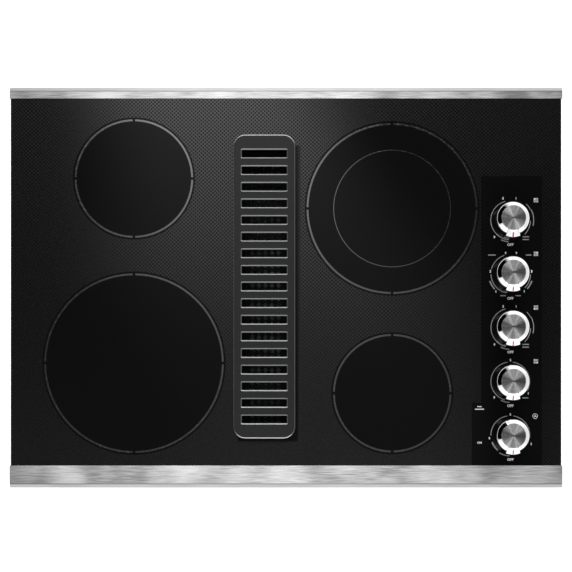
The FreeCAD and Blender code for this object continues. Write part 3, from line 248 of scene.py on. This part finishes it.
# Glass ceramic, rolled and polished: near black with a hard clear gloss, and round the zones a fired
# lustre print, matt dots on a glossy ground, that shows where it catches the light and fades elsewhere
def blackGlassCeramic():
    material, tree, shader, coords = startMaterial("blackGlassCeramic", IOR=1.26)
    x, y, z = addNode(tree, "SeparateXYZ", [coords]).outputs
    flat = addNode(tree, "VectorMath", [coords, (1, 1, 0)], operation="MULTIPLY")
    pitch = (dotPrint["pitchX"], dotPrint["pitchY"], 0)
    grid = (1000 / dotPrint["pitchX"], 1000 / dotPrint["pitchY"], 0)
    lattice = []
    for shift in (0.0, 0.5):
        cell = addNode(tree, "VectorMath", [flat, grid, (shift, shift, 0)], operation="MULTIPLY_ADD")
        cell = addNode(tree, "VectorMath", [cell], operation="FRACTION")
        cell = addNode(tree, "VectorMath", [cell, (0.5, 0.5, 0)], operation="SUBTRACT")
        cell = addNode(tree, "VectorMath", [cell, pitch], operation="MULTIPLY")
        lattice.append(addNode(tree, "VectorMath", [cell], operation="LENGTH").outputs["Value"])
    nearest = addNode(tree, "Math", lattice, operation="MINIMUM")
    dots = addNode(tree, "MapRange", [nearest, dotPrint["radius"] - dotPrint["soft"],
                                      dotPrint["radius"] + dotPrint["soft"], 1.0, 0.0])
    # only the upper face is printed
    field = addNode(tree, "Math", [z, glassTop - dotPrint["skin"] * mm], operation="GREATER_THAN")
    # no print inside the heating rings
    for zoneX, zoneY, radius in zonePrint["zones"].values():
        away = addNode(tree, "VectorMath", [flat, (zoneX * mm, zoneY * mm, 0)], operation="DISTANCE")
        outside = (radius + zonePrint["line"] / 2 + zonePrint["clear"]) * mm
        keep = addNode(tree, "Math", [away.outputs["Value"], outside], operation="GREATER_THAN")
        field = addNode(tree, "Math", [field, keep], operation="MULTIPLY")
    # nor on the control panel and its small step for the lamps
    for left, top in (("controlLeft", "controlTop"), ("lampLeft", "lampTop")):
        panel = addNode(tree, "Math", [x, dotPrint[left] * mm], operation="GREATER_THAN")
        for way, limit in ((x, "controlRight"), (y, top)):
            within = addNode(tree, "Math", [way, dotPrint[limit] * mm], operation="LESS_THAN")
            panel = addNode(tree, "Math", [panel, within], operation="MULTIPLY")
        keep = addNode(tree, "Math", [1.0, panel], operation="SUBTRACT")
        field = addNode(tree, "Math", [field, keep], operation="MULTIPLY")
    # a painted shadow of the grille: the print stops short to the right of the vent and in front of it, and
    # the bare dark glass there stands in for the grille's shadow
    ventLow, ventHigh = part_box("vent_grille")
    margin, fade = dotPrint["ventShadowWidth"] * mm, dotPrint["ventShadowFade"] * mm
    ventShadow = addNode(tree, "MapRange", [x, ventHigh.x + margin - fade, ventHigh.x + margin + fade, 1.0, 0.0])
    front = addNode(tree, "MapRange", [y, ventLow.y - margin - fade, ventLow.y - margin + fade, 0.0, 1.0])
    left = addNode(tree, "Math", [x, ventLow.x + margin], operation="GREATER_THAN")
    back = addNode(tree, "Math", [y, ventHigh.y - dotPrint["ventShadowTop"] * mm], operation="LESS_THAN")
    for limit in (front, left, back):
        ventShadow = addNode(tree, "Math", [ventShadow, limit], operation="MULTIPLY")
    keep = addNode(tree, "Math", [1.0, ventShadow], operation="SUBTRACT")
    field = addNode(tree, "Math", [field, keep], operation="MULTIPLY")
    lustre = addNode(tree, "Mix", {0: dots, 6: hexLinear(dotPrint["ground"]),
                                   7: hexLinear(dotPrint["colour"])}, data_type="RGBA")
    colour = addNode(tree, "Mix", {0: field, 6: hexLinear(dotPrint["glass"]), 7: lustre.outputs[2]},
                     data_type="RGBA")
    tree.links.new(colour.outputs[2], shader.inputs["Base Color"])
    tree.links.new(field.outputs[0], shader.inputs["Metallic"])
    matt = addNode(tree, "MapRange", [dots, 0.0, 1.0, dotPrint["groundRough"], dotPrint["dotRough"]])
    rough = addNode(tree, "Mix", {0: field, 2: dotPrint["glassRough"], 3: matt})
    tree.links.new(rough.outputs[0], shader.inputs["Roughness"])
    return material


# sizes in millimetres; scratches and patches are length and width
trimSteel = {"bevel": 4.8, "crease": 1.4, "fade": 0.4, "bevelShading": "#b2b2b2", "creaseShade": "#8c8c8c",
             "scratch": (26, 1.3), "patch": (60, 80), "patchShare": 0.9, "toneSpan": (0.25, 0.75),
             "dark": "#8e8e8e", "light": "#dcdcdc", "roughSpan": (0.35, 0.65), "rough": (0.38, 0.46),
             "scratchDepth": 0.05, "brushedAlong": (1, 0.02, 0)}


# Stainless sheet, belt brushed along X: fine scratches that smear the light across them, and a folded bevel
# painted one even tone as painted shading, with a thin darker line of painted shade in the crease beside it
def brushedStainless():
    material, tree, shader, coords = startMaterial("brushedStainless", Metallic=1.0, Anisotropic=0.8)
    # real scratches are about 0.1 mm wide; drawn 1.3 mm so that they show from two metres
    long, wide = [1 / (size * mm) for size in trimSteel["scratch"]]
    streak = addNode(tree, "Mapping", {0: coords, "Scale": (long, wide, wide)})
    grain = addNode(tree, "TexNoise", {0: streak, "Scale": 1.0, "Detail": 3.0, "Roughness": 0.6})
    long, wide = [1 / (size * mm) for size in trimSteel["patch"]]
    patch = addNode(tree, "Mapping", {0: coords, "Scale": (long, wide, wide)})
    cloud = addNode(tree, "TexNoise", {0: patch, "Scale": 1.0, "Detail": 1.0})
    tone = addNode(tree, "Math", [cloud, trimSteel["patchShare"], -0.5 * trimSteel["patchShare"]],
                   operation="MULTIPLY_ADD")
    tone = addNode(tree, "Math", [tone, grain], operation="ADD")
    tone = addNode(tree, "MapRange", [tone, *trimSteel["toneSpan"], 0.0, 1.0])
    colour = addNode(tree, "Mix", {0: tone, 6: hexLinear(trimSteel["dark"]),
                                   7: hexLinear(trimSteel["light"])}, data_type="RGBA")
    # distance in from the outer edge, the same at the back and at the front
    frontEdge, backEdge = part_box("front_trim")[0].y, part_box("rear_trim")[1].y
    inward = addNode(tree, "SeparateXYZ", [coords]).outputs[1]
    inward = addNode(tree, "Math", [inward, (frontEdge + backEdge) / 2], operation="SUBTRACT")
    inward = addNode(tree, "Math", [inward], operation="ABSOLUTE")
    inward = addNode(tree, "Math", [(backEdge - frontEdge) / 2, inward], operation="SUBTRACT")
    fade = trimSteel["fade"] * mm
    creased = trimSteel["bevel"] + trimSteel["crease"]
    for depth, shade in ((creased, "creaseShade"), (trimSteel["bevel"], "bevelShading")):
        within = addNode(tree, "MapRange", [inward, depth * mm - fade, depth * mm + fade, 1.0, 0.0])
        colour = addNode(tree, "Mix", {0: within, 6: colour.outputs[2], 7: hexLinear(trimSteel[shade])},
                         data_type="RGBA")
    tree.links.new(colour.outputs[2], shader.inputs["Base Color"])
    rough = addNode(tree, "MapRange", [cloud, *trimSteel["roughSpan"], *trimSteel["rough"]])
    tree.links.new(rough.outputs[0], shader.inputs["Roughness"])
    scratch = addNode(tree, "Bump", {"Height": grain, "Strength": 0.3,
                                     "Distance": trimSteel["scratchDepth"] * mm})
    tree.links.new(scratch.outputs[0], shader.inputs["Normal"])
    # the light smears across the scratches
    facing = addNode(tree, "NewGeometry").outputs["Normal"]
    smear = addNode(tree, "VectorMath", [facing, trimSteel["brushedAlong"]], operation="CROSS_PRODUCT")
    tree.links.new(smear.outputs[0], shader.inputs["Tangent"])
    return material


# Hot-dip galvanised sheet: dull zinc with crystal spangle a finger-nail wide
def galvanisedSheet():
    material, tree, shader, coords = startMaterial("galvanisedSheet", Metallic=0.85)
    spangle, wander = 9 * mm, 4 * mm  # a crystal's width, and how far its edges stray
    fine = addNode(tree, "TexNoise", {0: coords, "Scale": 1 / spangle, "Detail": 3.0})
    bent = addNode(tree, "VectorMath", [fine.outputs["Color"], (wander, wander, wander), coords],
                   operation="MULTIPLY_ADD")
    crystals = addNode(tree, "TexVoronoi", {0: bent, "Scale": 1 / spangle})
    tint = addNode(tree, "SeparateColor", [crystals.outputs["Color"]])
    colour = addNode(tree, "Mix", {0: tint, 6: hexLinear("#979b9e"), 7: hexLinear("#afb3b5")},
                     data_type="RGBA")
    tree.links.new(colour.outputs[2], shader.inputs["Base Color"])
    rough = addNode(tree, "MapRange", [tint.outputs[1], 0.0, 1.0, 0.36, 0.55])
    tree.links.new(rough.outputs[0], shader.inputs["Roughness"])
    return material


cloudSpan = (0.3, 0.7)  # holds most values of a noise pattern


# Plated, rolled, anodised and fired surfaces share one recipe: a colour pair, a cloud size in
# millimetres with its detail, and the roughness at the two ends of the cloud's span
def cloudedMaterial(name, dark, light, size, detail, rough, **fixed):
    material, tree, shader, coords = startMaterial(name, **fixed)
    cloud = addNode(tree, "TexNoise", {0: coords, "Scale": 1 / (size * mm), "Detail": detail})
    colour = addNode(tree, "Mix", {0: cloud, 6: hexLinear(dark), 7: hexLinear(light)}, data_type="RGBA")
    tree.links.new(colour.outputs[2], shader.inputs["Base Color"])
    shine = addNode(tree, "MapRange", [cloud, *cloudSpan, *rough])
    tree.links.new(shine.outputs[0], shader.inputs["Roughness"])
    return material


# sizes in millimetres; steep, flat, side and front spans are parts of the surface normal
grilleCoat = {"grit": 1.2, "dark": "#1e1f20", "light": "#2b2c2d", "highlight": "#e0e0e0",
              "steep": (0.24, 0.36), "flat": (0.9, 0.96), "sideSpan": (0.15, 0.5), "sideShare": 0.2,
              "rim": 6, "frontSpan": (-0.3, 0.3), "frontLoss": 0.65, "lip": 1.4, "lipFade": 0.15,
              "metallic": (0.35, 0.5), "rough": (0.3, 0.4), "gritDepth": 0.05}


# Die-cast aluminium, dark grey satin coat: a soft sheen with a very fine grain, and thin light lines of
# painted highlight where the slot and outer bevels turn
def satinCoat():
    material, tree, shader, coords = startMaterial("satinCoat", IOR=1.5)
    # drawn coarser than real grit, to show
    grit = addNode(tree, "TexNoise", {0: coords, "Scale": 1 / (grilleCoat["grit"] * mm), "Detail": 3.0})
    coat = addNode(tree, "Mix", {0: grit, 6: hexLinear(grilleCoat["dark"]),
                                 7: hexLinear(grilleCoat["light"])}, data_type="RGBA")
    facing = addNode(tree, "SeparateXYZ", [addNode(tree, "NewGeometry").outputs["Normal"]]).outputs
    place = addNode(tree, "SeparateXYZ", [coords]).outputs
    grilleLow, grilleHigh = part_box("vent_grille")
    # bevels lean between the upright walls and the flat top
    paintedEdgeHighlight = addNode(tree, "MapRange", [facing[2], *grilleCoat["steep"], 0.0, 1.0])
    top = addNode(tree, "MapRange", [facing[2], *grilleCoat["flat"], 1.0, 0.0])
    # the painted highlight is weak on the sides, and in the slots weaker on the bevels that face the front
    ways = addNode(tree, "Math", [facing[1]], operation="ABSOLUTE")
    ways = addNode(tree, "MapRange", [ways, *grilleCoat["sideSpan"], grilleCoat["sideShare"], 1.0])
    inSlots = addNode(tree, "Math", [place[1], grilleLow.y + grilleCoat["rim"] * mm],
                      operation="GREATER_THAN")
    forward = addNode(tree, "MapRange", [facing[1], *grilleCoat["frontSpan"], grilleCoat["frontLoss"], 0.0])
    less = addNode(tree, "Math", [inSlots, forward], operation="MULTIPLY")
    less = addNode(tree, "Math", [1.0, less], operation="SUBTRACT")
    # and only the top of the bevel
    lip, fade = grilleHigh.z - grilleCoat["lip"] * mm, grilleCoat["lipFade"] * mm
    rise = addNode(tree, "MapRange", [place[2], lip - fade, lip + fade, 0.0, 1.0])
    for share in (top, ways, less, rise):
        paintedEdgeHighlight = addNode(tree, "Math", [paintedEdgeHighlight, share], operation="MULTIPLY")
    colour = addNode(tree, "Mix", {0: paintedEdgeHighlight, 6: coat.outputs[2], 7: hexLinear(grilleCoat["highlight"])},
                     data_type="RGBA")
    tree.links.new(colour.outputs[2], shader.inputs["Base Color"])
    metal = addNode(tree, "MapRange", [paintedEdgeHighlight, 0.0, 1.0, *grilleCoat["metallic"]])
    tree.links.new(metal.outputs[0], shader.inputs["Metallic"])
    rough = addNode(tree, "MapRange", [grit, *cloudSpan, *grilleCoat["rough"]])
    tree.links.new(rough.outputs[0], shader.inputs["Roughness"])
    grain = addNode(tree, "Bump", {"Height": grit, "Strength": 0.08,
                                   "Distance": grilleCoat["gritDepth"] * mm})
    tree.links.new(grain.outputs[0], shader.inputs["Normal"])
    return material


# Chrome plate on a cast knob: a clear mirror with the slightest haze
def chromePlate():
    material, tree, shader, coords = startMaterial("chromePlate", Metallic=1.0)
    shader.inputs["Base Color"].default_value = hexLinear("#e6e6e6")
    haze = addNode(tree, "TexNoise", {0: coords, "Scale": 1 / (7 * mm), "Detail": 2.0})
    rough = addNode(tree, "MapRange", [haze, *cloudSpan, 0.03, 0.07])
    tree.links.new(rough.outputs[0], shader.inputs["Roughness"])
    return material


# sizes in millimetres; the feed is coarser than a real one so that it shows, and a streak of painted sheen,
# standing in for the streaky highlights of the spun face, is about 25 degrees wide
capFace = {"feed": 0.55, "sheenStreaks": 2.4, "sheenGain": 1.7, "sheenShift": -0.6, "lineGain": 0.6,
           "dark": "#4c4c4c", "light": "#e6e6e6", "mark": (0.5, 1.5), "markTone": "#1c1c1c",
           "rough": (0.26, 0.33)}


# Steel disc faced on a lathe: rings of fine turning marks, so the light fans out in two bright wedges, with
# radial streaks of painted sheen in the colour
def spunSteel(name, centre):
    material, tree, shader, coords = startMaterial(name, Metallic=1.0, Anisotropic=0.93)
    arm = addNode(tree, "VectorMath", [coords, centre], operation="SUBTRACT")
    arm = addNode(tree, "VectorMath", [arm, (1, 1, 0)], operation="MULTIPLY")
    reach = addNode(tree, "VectorMath", [arm], operation="LENGTH").outputs["Value"]
    rings = addNode(tree, "Math", [reach, 1 / (capFace["feed"] * mm)], operation="MULTIPLY")
    line = addNode(tree, "TexNoise", {"W": rings, "Scale": 1.0, "Detail": 2.0}, noise_dimensions="1D")
    smear = addNode(tree, "VectorMath", [arm], operation="NORMALIZE")
    streakSheen = addNode(tree, "TexNoise", {0: smear, "Scale": capFace["sheenStreaks"], "Detail": 2.0})
    tone = addNode(tree, "Math", [streakSheen, capFace["sheenGain"], capFace["sheenShift"]],
                   operation="MULTIPLY_ADD")
    tone = addNode(tree, "Math", [line, capFace["lineGain"], tone], operation="MULTIPLY_ADD")
    colour = addNode(tree, "Mix", {0: tone, 6: hexLinear(capFace["dark"]), 7: hexLinear(capFace["light"])},
                     data_type="RGBA")
    # centre mark of the lathe
    inner, outer = [radius * mm for radius in capFace["mark"]]
    mark = addNode(tree, "MapRange", [reach, inner, outer, 1.0, 0.0])
    colour = addNode(tree, "Mix", {0: mark, 6: colour.outputs[2], 7: hexLinear(capFace["markTone"])},
                     data_type="RGBA")
    tree.links.new(colour.outputs[2], shader.inputs["Base Color"])
    rough = addNode(tree, "MapRange", [line, *cloudSpan, *capFace["rough"]])
    tree.links.new(rough.outputs[0], shader.inputs["Roughness"])
    tree.links.new(smear.outputs[0], shader.inputs["Tangent"])
    return material


# Black stoved paint on a steel motor can: even, low sheen with orange peel
def stovedBlack():
    material, tree, shader, coords = startMaterial("stovedBlack", IOR=1.5)
    peel = addNode(tree, "TexNoise", {0: coords, "Scale": 1 / (2.5 * mm), "Detail": 2.0})
    colour = addNode(tree, "Mix", {0: peel, 6: hexLinear("#17181a"), 7: hexLinear("#222426")},
                     data_type="RGBA")
    tree.links.new(colour.outputs[2], shader.inputs["Base Color"])
    rough = addNode(tree, "MapRange", [peel, *cloudSpan, 0.38, 0.5])
    tree.links.new(rough.outputs[0], shader.inputs["Roughness"])
    skin = addNode(tree, "Bump", {"Height": peel, "Strength": 0.15, "Distance": 0.1 * mm})
    tree.links.new(skin.outputs[0], shader.inputs["Normal"])
    return material


# Soft moulded and foamed pieces share one recipe: colour pair, cell size in millimetres and roughness
def softMaterial(name, dark, light, cell, rough):
    material, tree, shader, coords = startMaterial(name, IOR=1.45)
    pores = addNode(tree, "TexVoronoi", {0: coords, "Scale": 1 / (cell * mm)}).outputs["Distance"]
    colour = addNode(tree, "Mix", {0: pores, 6: hexLinear(dark), 7: hexLinear(light)}, data_type="RGBA")
    tree.links.new(colour.outputs[2], shader.inputs["Base Color"])
    shine = addNode(tree, "MapRange", [pores, 0.0, 1.0, rough - 0.08, rough + 0.05])
    tree.links.new(shine.outputs[0], shader.inputs["Roughness"])
    pits = addNode(tree, "Bump", {"Height": pores, "Strength": 0.3, "Distance": 0.15 * mm})
    tree.links.new(pits.outputs[0], shader.inputs["Normal"])
    return material


# finishes on the CAD nodes
glass, stainless, galvanised = blackGlassCeramic(), brushedStainless(), galvanisedSheet()
satin, chrome, stoved = satinCoat(), chromePlate(), stovedBlack()
# bright zinc plate, tumbled smooth, with a faint yellow cast
zinc = cloudedMaterial("zincPlate", "#a89f86", "#d0cab6", 6, 2.0, (0.24, 0.38), Metallic=1.0)
# blued spring steel, cold rolled: dark and uneven
spring = cloudedMaterial("springSteel", "#5b5c60", "#7d7e82", 5, 3.0, (0.28, 0.45), Metallic=1.0)
# filter aluminium, coloured near black as painted shade for the dark inside of the vent, with a slightly
# cloudy, dry sheen
aluminium = cloudedMaterial("shadeDarkFilterAluminium", "#08080a", "#101012", 8, 3.0, (0.3, 0.45), Metallic=0.65)
closedCellFoam = softMaterial("closedCellFoam", "#141414", "#262626", 0.9, 0.85)  # tiny pores, no shine
siliconeRubber = softMaterial("siliconeRubber", "#4a4a4a", "#5a5a5a", 2.0, 0.55)  # smooth, slightly waxy
mineralFibre = softMaterial("mineralFibre", "#cfc9ba", "#e6e1d4", 1.6, 0.9)  # pressed wool, chalky
phenolic = softMaterial("phenolicMoulding", "#b9b29b", "#cbc5b0", 3.0, 0.5)  # cream heat-proof moulding
nylonGrey = softMaterial("greyNylon", "#3c3c3f", "#4a4a4d", 3.0, 0.45)  # moulded, a dull slippery sheen
lampLens = softMaterial("redPolycarbonate", "#6d100d", "#8a1713", 4.0, 0.25)  # moulded, deep and glossy
nylonBlack = softMaterial("blackNylon", "#1a1a1b", "#252526", 3.0, 0.5)  # moulded, a low even sheen
# fired inks and paint: flat colour, slightly worn; the lustre ink is metallic and mirrors the room
whiteInk = cloudedMaterial("whiteFiredInk", "#dcdcdc", "#f2f2f2", 3, 2.0, (0.35, 0.5))
paleInk = cloudedMaterial("paleFiredInk", "#868686", "#989898", 3, 2.0, (0.35, 0.5))
lustreInk = cloudedMaterial("greyLustreInk", "#7a7a7a", "#8a8a8a", 3, 2.0, (0.03, 0.18), Metallic=1.0)
redInk = cloudedMaterial("redPointerPaint", "#8c1626", "#a81f30", 3, 2.0, (0.35, 0.5))
bySlot = {"black_glass": glass, "trim_steel": stainless, "galvanised_steel": galvanised,
          "zinc_steel": zinc, "spring_steel": spring, "grille_grey": satin, "filter_aluminium": aluminium,
          "bright_chrome": chrome, "motor_black": stoved, "foam_black": closedCellFoam,
          "seal_grey": siliconeRubber, "fibre_white": mineralFibre, "switch_plastic": phenolic,
          "cam_plastic": nylonGrey, "lamp_red": lampLens, "terminal_black": nylonBlack}
# the throat below the slots gets the black motor paint as painted shade, so that the slots stay dark
for part in frame["record"]["subparts"]:
    node = nodes[part["node"]]
    finish = stoved if part["node"] == "vent_throat" else bySlot.get(part["material_slot"])
    if part["material_slot"] == "spun_steel":
        lowCorner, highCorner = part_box(part["node"])
        finish = spunSteel("spunSteel_" + part["node"], (lowCorner + highCorner) / 2)
    node.data.materials.clear()
    node.data.materials.append(finish)


# foam strip that seals the rim to the worktop, in place of the plain solid
foamStrip = {"outer": (769, 541), "inner": (739, 523), "corner": 12, "cornerSteps": 8,
             "height": 2.0, "round": 0.6, "roundSteps": 3}
bm = bmesh.new()
for width, depth in (foamStrip["outer"], foamStrip["inner"]):
    loop = bmesh.ops.create_grid(bm, x_segments=1, y_segments=1, size=0.5,
                                 matrix=Matrix.Diagonal((width * mm, depth * mm, 1, 1)))["verts"]
    bmesh.ops.bevel(bm, geom=loop, offset=foamStrip["corner"] * mm, affect="VERTICES",
                    segments=foamStrip["cornerSteps"], profile=0.5, material=-1)
bmesh.ops.delete(bm, geom=bm.faces[:], context="FACES_ONLY")
ring = bmesh.ops.bridge_loops(bm, edges=bm.edges[:])["faces"]
raised = bmesh.ops.extrude_face_region(bm, geom=ring)["geom"]
bmesh.ops.translate(bm, verts=[g for g in raised if isinstance(g, bmesh.types.BMVert)],
                    vec=(0, 0, foamStrip["height"] * mm))
bmesh.ops.recalc_face_normals(bm, faces=bm.faces)
# upper edges, where the top meets a wall
crest = [e for e in bm.edges if all(v.co.z > 0.5 * foamStrip["height"] * mm for v in e.verts)
         and len({f.normal.z > 0.5 for f in e.link_faces}) == 2]
bmesh.ops.bevel(bm, geom=crest, offset=foamStrip["round"] * mm, affect="EDGES",
                segments=foamStrip["roundSteps"], profile=0.5, material=-1)
foam = makePiece("foamStrip", bm, closedCellFoam, "cooktop")
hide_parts("counter_seal")
print("foam strip laid")


# prints: each is a thin film of ink standing on the glass
def inkArc(bm, x, y, radius, width, start, stop):
    inner, outer = (radius - width / 2) * mm, (radius + width / 2) * mm
    turn = math.radians(start)
    spots = [(inner, 0), (outer, 0), (outer, zonePrint["ink"] * mm), (inner, zonePrint["ink"] * mm)]
    corners = [bm.verts.new((x * mm + r * math.cos(turn), y * mm + r * math.sin(turn), glassTop + h))
               for r, h in spots]
    whole = stop - start >= 360
    edges = [bm.edges.new((corners[i], corners[(i + 1) % 4])) for i in range(4)]
    geom = corners + edges + ([] if whole else [bm.faces.new(corners)])
    steps = max(zonePrint["leastSteps"], int((stop - start) * radius / zonePrint["arcStep"]))
    bmesh.ops.spin(bm, geom=geom, cent=(x * mm, y * mm, 0), axis=(0, 0, 1),
                   angle=math.radians(stop - start), steps=steps, use_merge=whole)


def inkBar(bm, x, y, width, depth, turn=0.0):
    size = Matrix.Diagonal((width * mm, depth * mm, zonePrint["ink"] * mm, 1))
    place = Matrix.Translation((x * mm, y * mm, glassTop + 0.5 * zonePrint["ink"] * mm))
    bmesh.ops.create_cube(bm, size=1, matrix=place @ Matrix.Rotation(turn, 4, "Z") @ size)


def inkWord(bm, words, size, x, y):
    letters = bpy.data.curves.new("letters", "FONT")
    letters.body, letters.size = words, size * mm
    letters.align_x, letters.align_y = "CENTER", "CENTER"
    letters.extrude, letters.resolution_u = 0.5 * zonePrint["ink"] * mm, 3
    letters.offset = zonePrint["stroke"] * mm
    holder = bpy.data.objects.new("letters", letters)
    scene.collection.objects.link(holder)
    bpy.context.view_layer.update()
    mesh = bpy.data.meshes.new_from_object(holder.evaluated_get(bpy.context.evaluated_depsgraph_get()))
    mesh.transform(Matrix.Translation((x * mm, y * mm, glassTop + 0.5 * zonePrint["ink"] * mm)))
    bm.from_mesh(mesh)
    bpy.data.objects.remove(holder)
    bpy.data.curves.remove(letters)
    bpy.data.meshes.remove(mesh)


for zoneName, (x, y, radius) in zonePrint["zones"].items():
    bm = bmesh.new()
    gap = math.degrees(zonePrint["gap"] / radius)
    for quarter in range(4):
        inkArc(bm, x, y, radius, zonePrint["line"], 90 * quarter + gap / 2, 90 * quarter + 90 - gap / 2)
    if zoneName == "rearRight":
        inkArc(bm, x, y, zonePrint["innerRadius"], zonePrint["innerLine"], 0, 360)
    makePiece("zoneRing_" + zoneName, bm, lustreInk, "cooktop")
print("heating rings printed")

# dial prints in millimetres from the knob's axis: arcs are radius, line, start and stop in degrees;
# numbers are text and place; bars are width, depth and place
dialArcs = {"knob_1": [(27.6, 1.1, 105, 225), (27.6, 1.7, 225, 266), (30.7, 1.5, 245, 266),
                       (28.6, 1.1, -44, -2), (32.3, 0.9, 28, 45)],
            "knob_2": [(27.5, 1.1, 108, 165), (27.3, 1.1, 181, 260), (30.7, 1.8, 199, 224),
                       (28.7, 1.1, -44, -2), (32.1, 1.8, -41, -18)],
            "knob_3": [(27.3, 1.1, 104, 225), (27.3, 1.7, 225, 257), (30.7, 1.5, 244, 268),
                       (28.8, 1.1, -44, -2), (32.3, 0.9, 27, 43)],
            "knob_4": [(27.4, 1.1, 98, 253), (27.4, 1.1, -28, 82), (29.9, 1.5, 244, 268)],
            "fan_knob": [(27.4, 1.2, 99, 181), (27.6, 2.2, 201, 231), (29.4, 1.4, 238, 268),
                         (27.6, 1.1, -8, 81)]}
dialNumbers = {"knob_1": [("5", -10.1, 30.6), ("1", 8.2, 30.6), ("9", -22.4, -24.1)],
               "knob_2": [("9", -6.6, 29.4), ("9", 8.7, 29.4), ("5", -28.1, 3.4),
                          ("5", 30.4, 3.4), ("1", -20.3, -24.9), ("1", 19.8, -24.9)],
               "knob_3": [("5", -9.9, 30.0), ("1", 8.4, 30.0), ("9", -22.4, -24.3)],
               "knob_4": [("5", 0.4, 29.8), ("9", -22.7, -22.9), ("1", 25.5, -17.1)],
               "fan_knob": [("5", 0.2, 29.2), ("9", -29.5, -4.8), ("1", 29.6, -12.8)]}
dialBars = {"knob_1": [(9.4, 1.5, 22.1, -23.5), (9.4, 1.5, 22.1, -27.4)],
            "knob_2": [(10.6, 1.5, -25.9, 26.8), (8.2, 1.5, 26.0, 26.8), (8.0, 1.4, -10.1, -30.8),
                       (8.0, 1.4, 11.2, -30.8)],
            "knob_3": [(9.4, 1.5, 21.9, -23.7), (9.4, 1.5, 21.9, -27.6)],
            "knob_4": [(8.6, 1.5, 21.5, -23.4)], "fan_knob": []}
dialLayout = {"figureSize": 4.6, "off": (5.0, 0.2, -34.8), "curve": (33.2, 1.1, -14, 27),
              "icon": (36.4, 28.4), "iconSquare": 2.5, "iconGap": 0.9, "iconLine": 0.6,
              "fanIcon": (35.3, 26.9), "fanRing": 3.6, "fanLine": 0.6, "fanBlades": 3,
              "fanBlade": (2.3, 0.9), "bladeTwist": 0.5}
iconFilled = {"knob_1": (-1, 1), "knob_2": (1, 1), "knob_3": (-1, -1), "knob_4": (1, -1)}
for knob, arcs in dialArcs.items():
    axisX, axisY = [place / mm for place in knobAxis(knob)]
    bm = bmesh.new()
    for radius, width, start, stop in arcs:
        inkArc(bm, axisX, axisY, radius, width, start, stop)
    for width, depth, x, y in dialBars[knob]:
        inkBar(bm, axisX + x, axisY + y, width, depth)
    if knob in ("knob_1", "knob_3"):
        inkArc(bm, axisX, axisY, *dialLayout["curve"])
    makePiece("dialArcs_" + knob, bm, paleInk, "cooktop")
    bm = bmesh.new()
    for figure, x, y in dialNumbers[knob]:
        inkWord(bm, figure, dialLayout["figureSize"], axisX + x, axisY + y)
    size, x, y = dialLayout["off"]
    inkWord(bm, "OFF", size, axisX + x, axisY + y)
    if knob in iconFilled:
        half = (dialLayout["iconSquare"] + dialLayout["iconGap"]) / 2
        for sideX in (-1, 1):
            for sideY in (-1, 1):
                x = axisX + dialLayout["icon"][0] + sideX * half
                y = axisY + dialLayout["icon"][1] + sideY * half
                if (sideX, sideY) == iconFilled[knob]:
                    inkBar(bm, x, y, dialLayout["iconSquare"], dialLayout["iconSquare"])
                    continue
                edge = (dialLayout["iconSquare"] - dialLayout["iconLine"]) / 2
                for way in (-1, 1):
                    inkBar(bm, x, y + way * edge, dialLayout["iconSquare"], dialLayout["iconLine"])
                    inkBar(bm, x + way * edge, y, dialLayout["iconLine"], 2 * edge - dialLayout["iconLine"])
    else:
        x, y = axisX + dialLayout["fanIcon"][0], axisY + dialLayout["fanIcon"][1]
        inkArc(bm, x, y, dialLayout["fanRing"], dialLayout["fanLine"], 0, 360)
        for step in range(dialLayout["fanBlades"]):
            turn = math.radians(90 + 360 / dialLayout["fanBlades"] * step)
            reach = 0.5 * dialLayout["fanBlade"][0]
            inkBar(bm, x + reach * math.cos(turn), y + reach * math.sin(turn),
                   *dialLayout["fanBlade"], turn + dialLayout["bladeTwist"])
    makePiece("dialFigures_" + knob, bm, whiteInk, "cooktop")
print("dials printed")

lampPrint = {"x": 274.0, "bars": ((6.4, 1.4, -168.7), (12.8, 1.4, -172.3)), "on": (4.0, -219.8)}
bm = bmesh.new()
for width, depth, y in lampPrint["bars"]:
    inkBar(bm, lampPrint["x"], y, width, depth)
inkWord(bm, "ON", lampPrint["on"][0], lampPrint["x"], lampPrint["on"][1])
makePiece("lampCaptions", bm, whiteInk, "cooktop")
print("lamp captions printed")

# red pointer lines laid over each knob's chin, from its slope down its front face, in millimetres; the
# nose's middle point is a share of the nose and of the paint's height
pointer = {"half": 0.8, "start": 20.3, "proud": 0.12, "sink": 0.25, "foot": 13.0, "rootRadius": 17.3,
           "rootHeight": 23.6, "reach": 26.6, "toeHeight": 18.6, "nose": 0.75,
           "noseShare": 0.25, "noseDrop": 0.1, "proudShare": 0.7}
slope = (pointer["rootHeight"] - pointer["toeHeight"]) / (pointer["reach"] - pointer["rootRadius"])
for knob in dialArcs:
    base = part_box(knob)[0].z
    axisX, axisY = knobAxis(knob)
    proud, nose, toe = pointer["proud"], pointer["nose"], pointer["toeHeight"]
    backs = [(pointer["start"], toe + slope * (pointer["reach"] - pointer["start"]) + proud),
             (pointer["reach"] - nose, toe + slope * nose + proud),
             (pointer["reach"] - pointer["noseShare"] * nose,
              toe - pointer["noseDrop"] + pointer["proudShare"] * proud),
             (pointer["reach"] + proud, toe - nose), (pointer["reach"] + proud, pointer["foot"])]
    bm = bmesh.new()
    row = [bm.verts.new((axisX - pointer["half"] * mm, axisY - r * mm, base + h * mm)) for r, h in backs]
    edges = [bm.edges.new((row[i], row[i + 1])) for i in range(len(row) - 1)]
    swept = bmesh.ops.extrude_edge_only(bm, edges=edges)
    bmesh.ops.translate(bm, verts=[v for v in swept["geom"] if isinstance(v, bmesh.types.BMVert)],
                        vec=(2 * pointer["half"] * mm, 0, 0))
    bmesh.ops.recalc_face_normals(bm, faces=bm.faces)
    bmesh.ops.solidify(bm, geom=bm.faces[:] + bm.edges[:] + bm.verts[:], thickness=pointer["sink"] * mm)
    makePiece("pointer_" + knob, bm, redInk, knob)
print("pointers set")
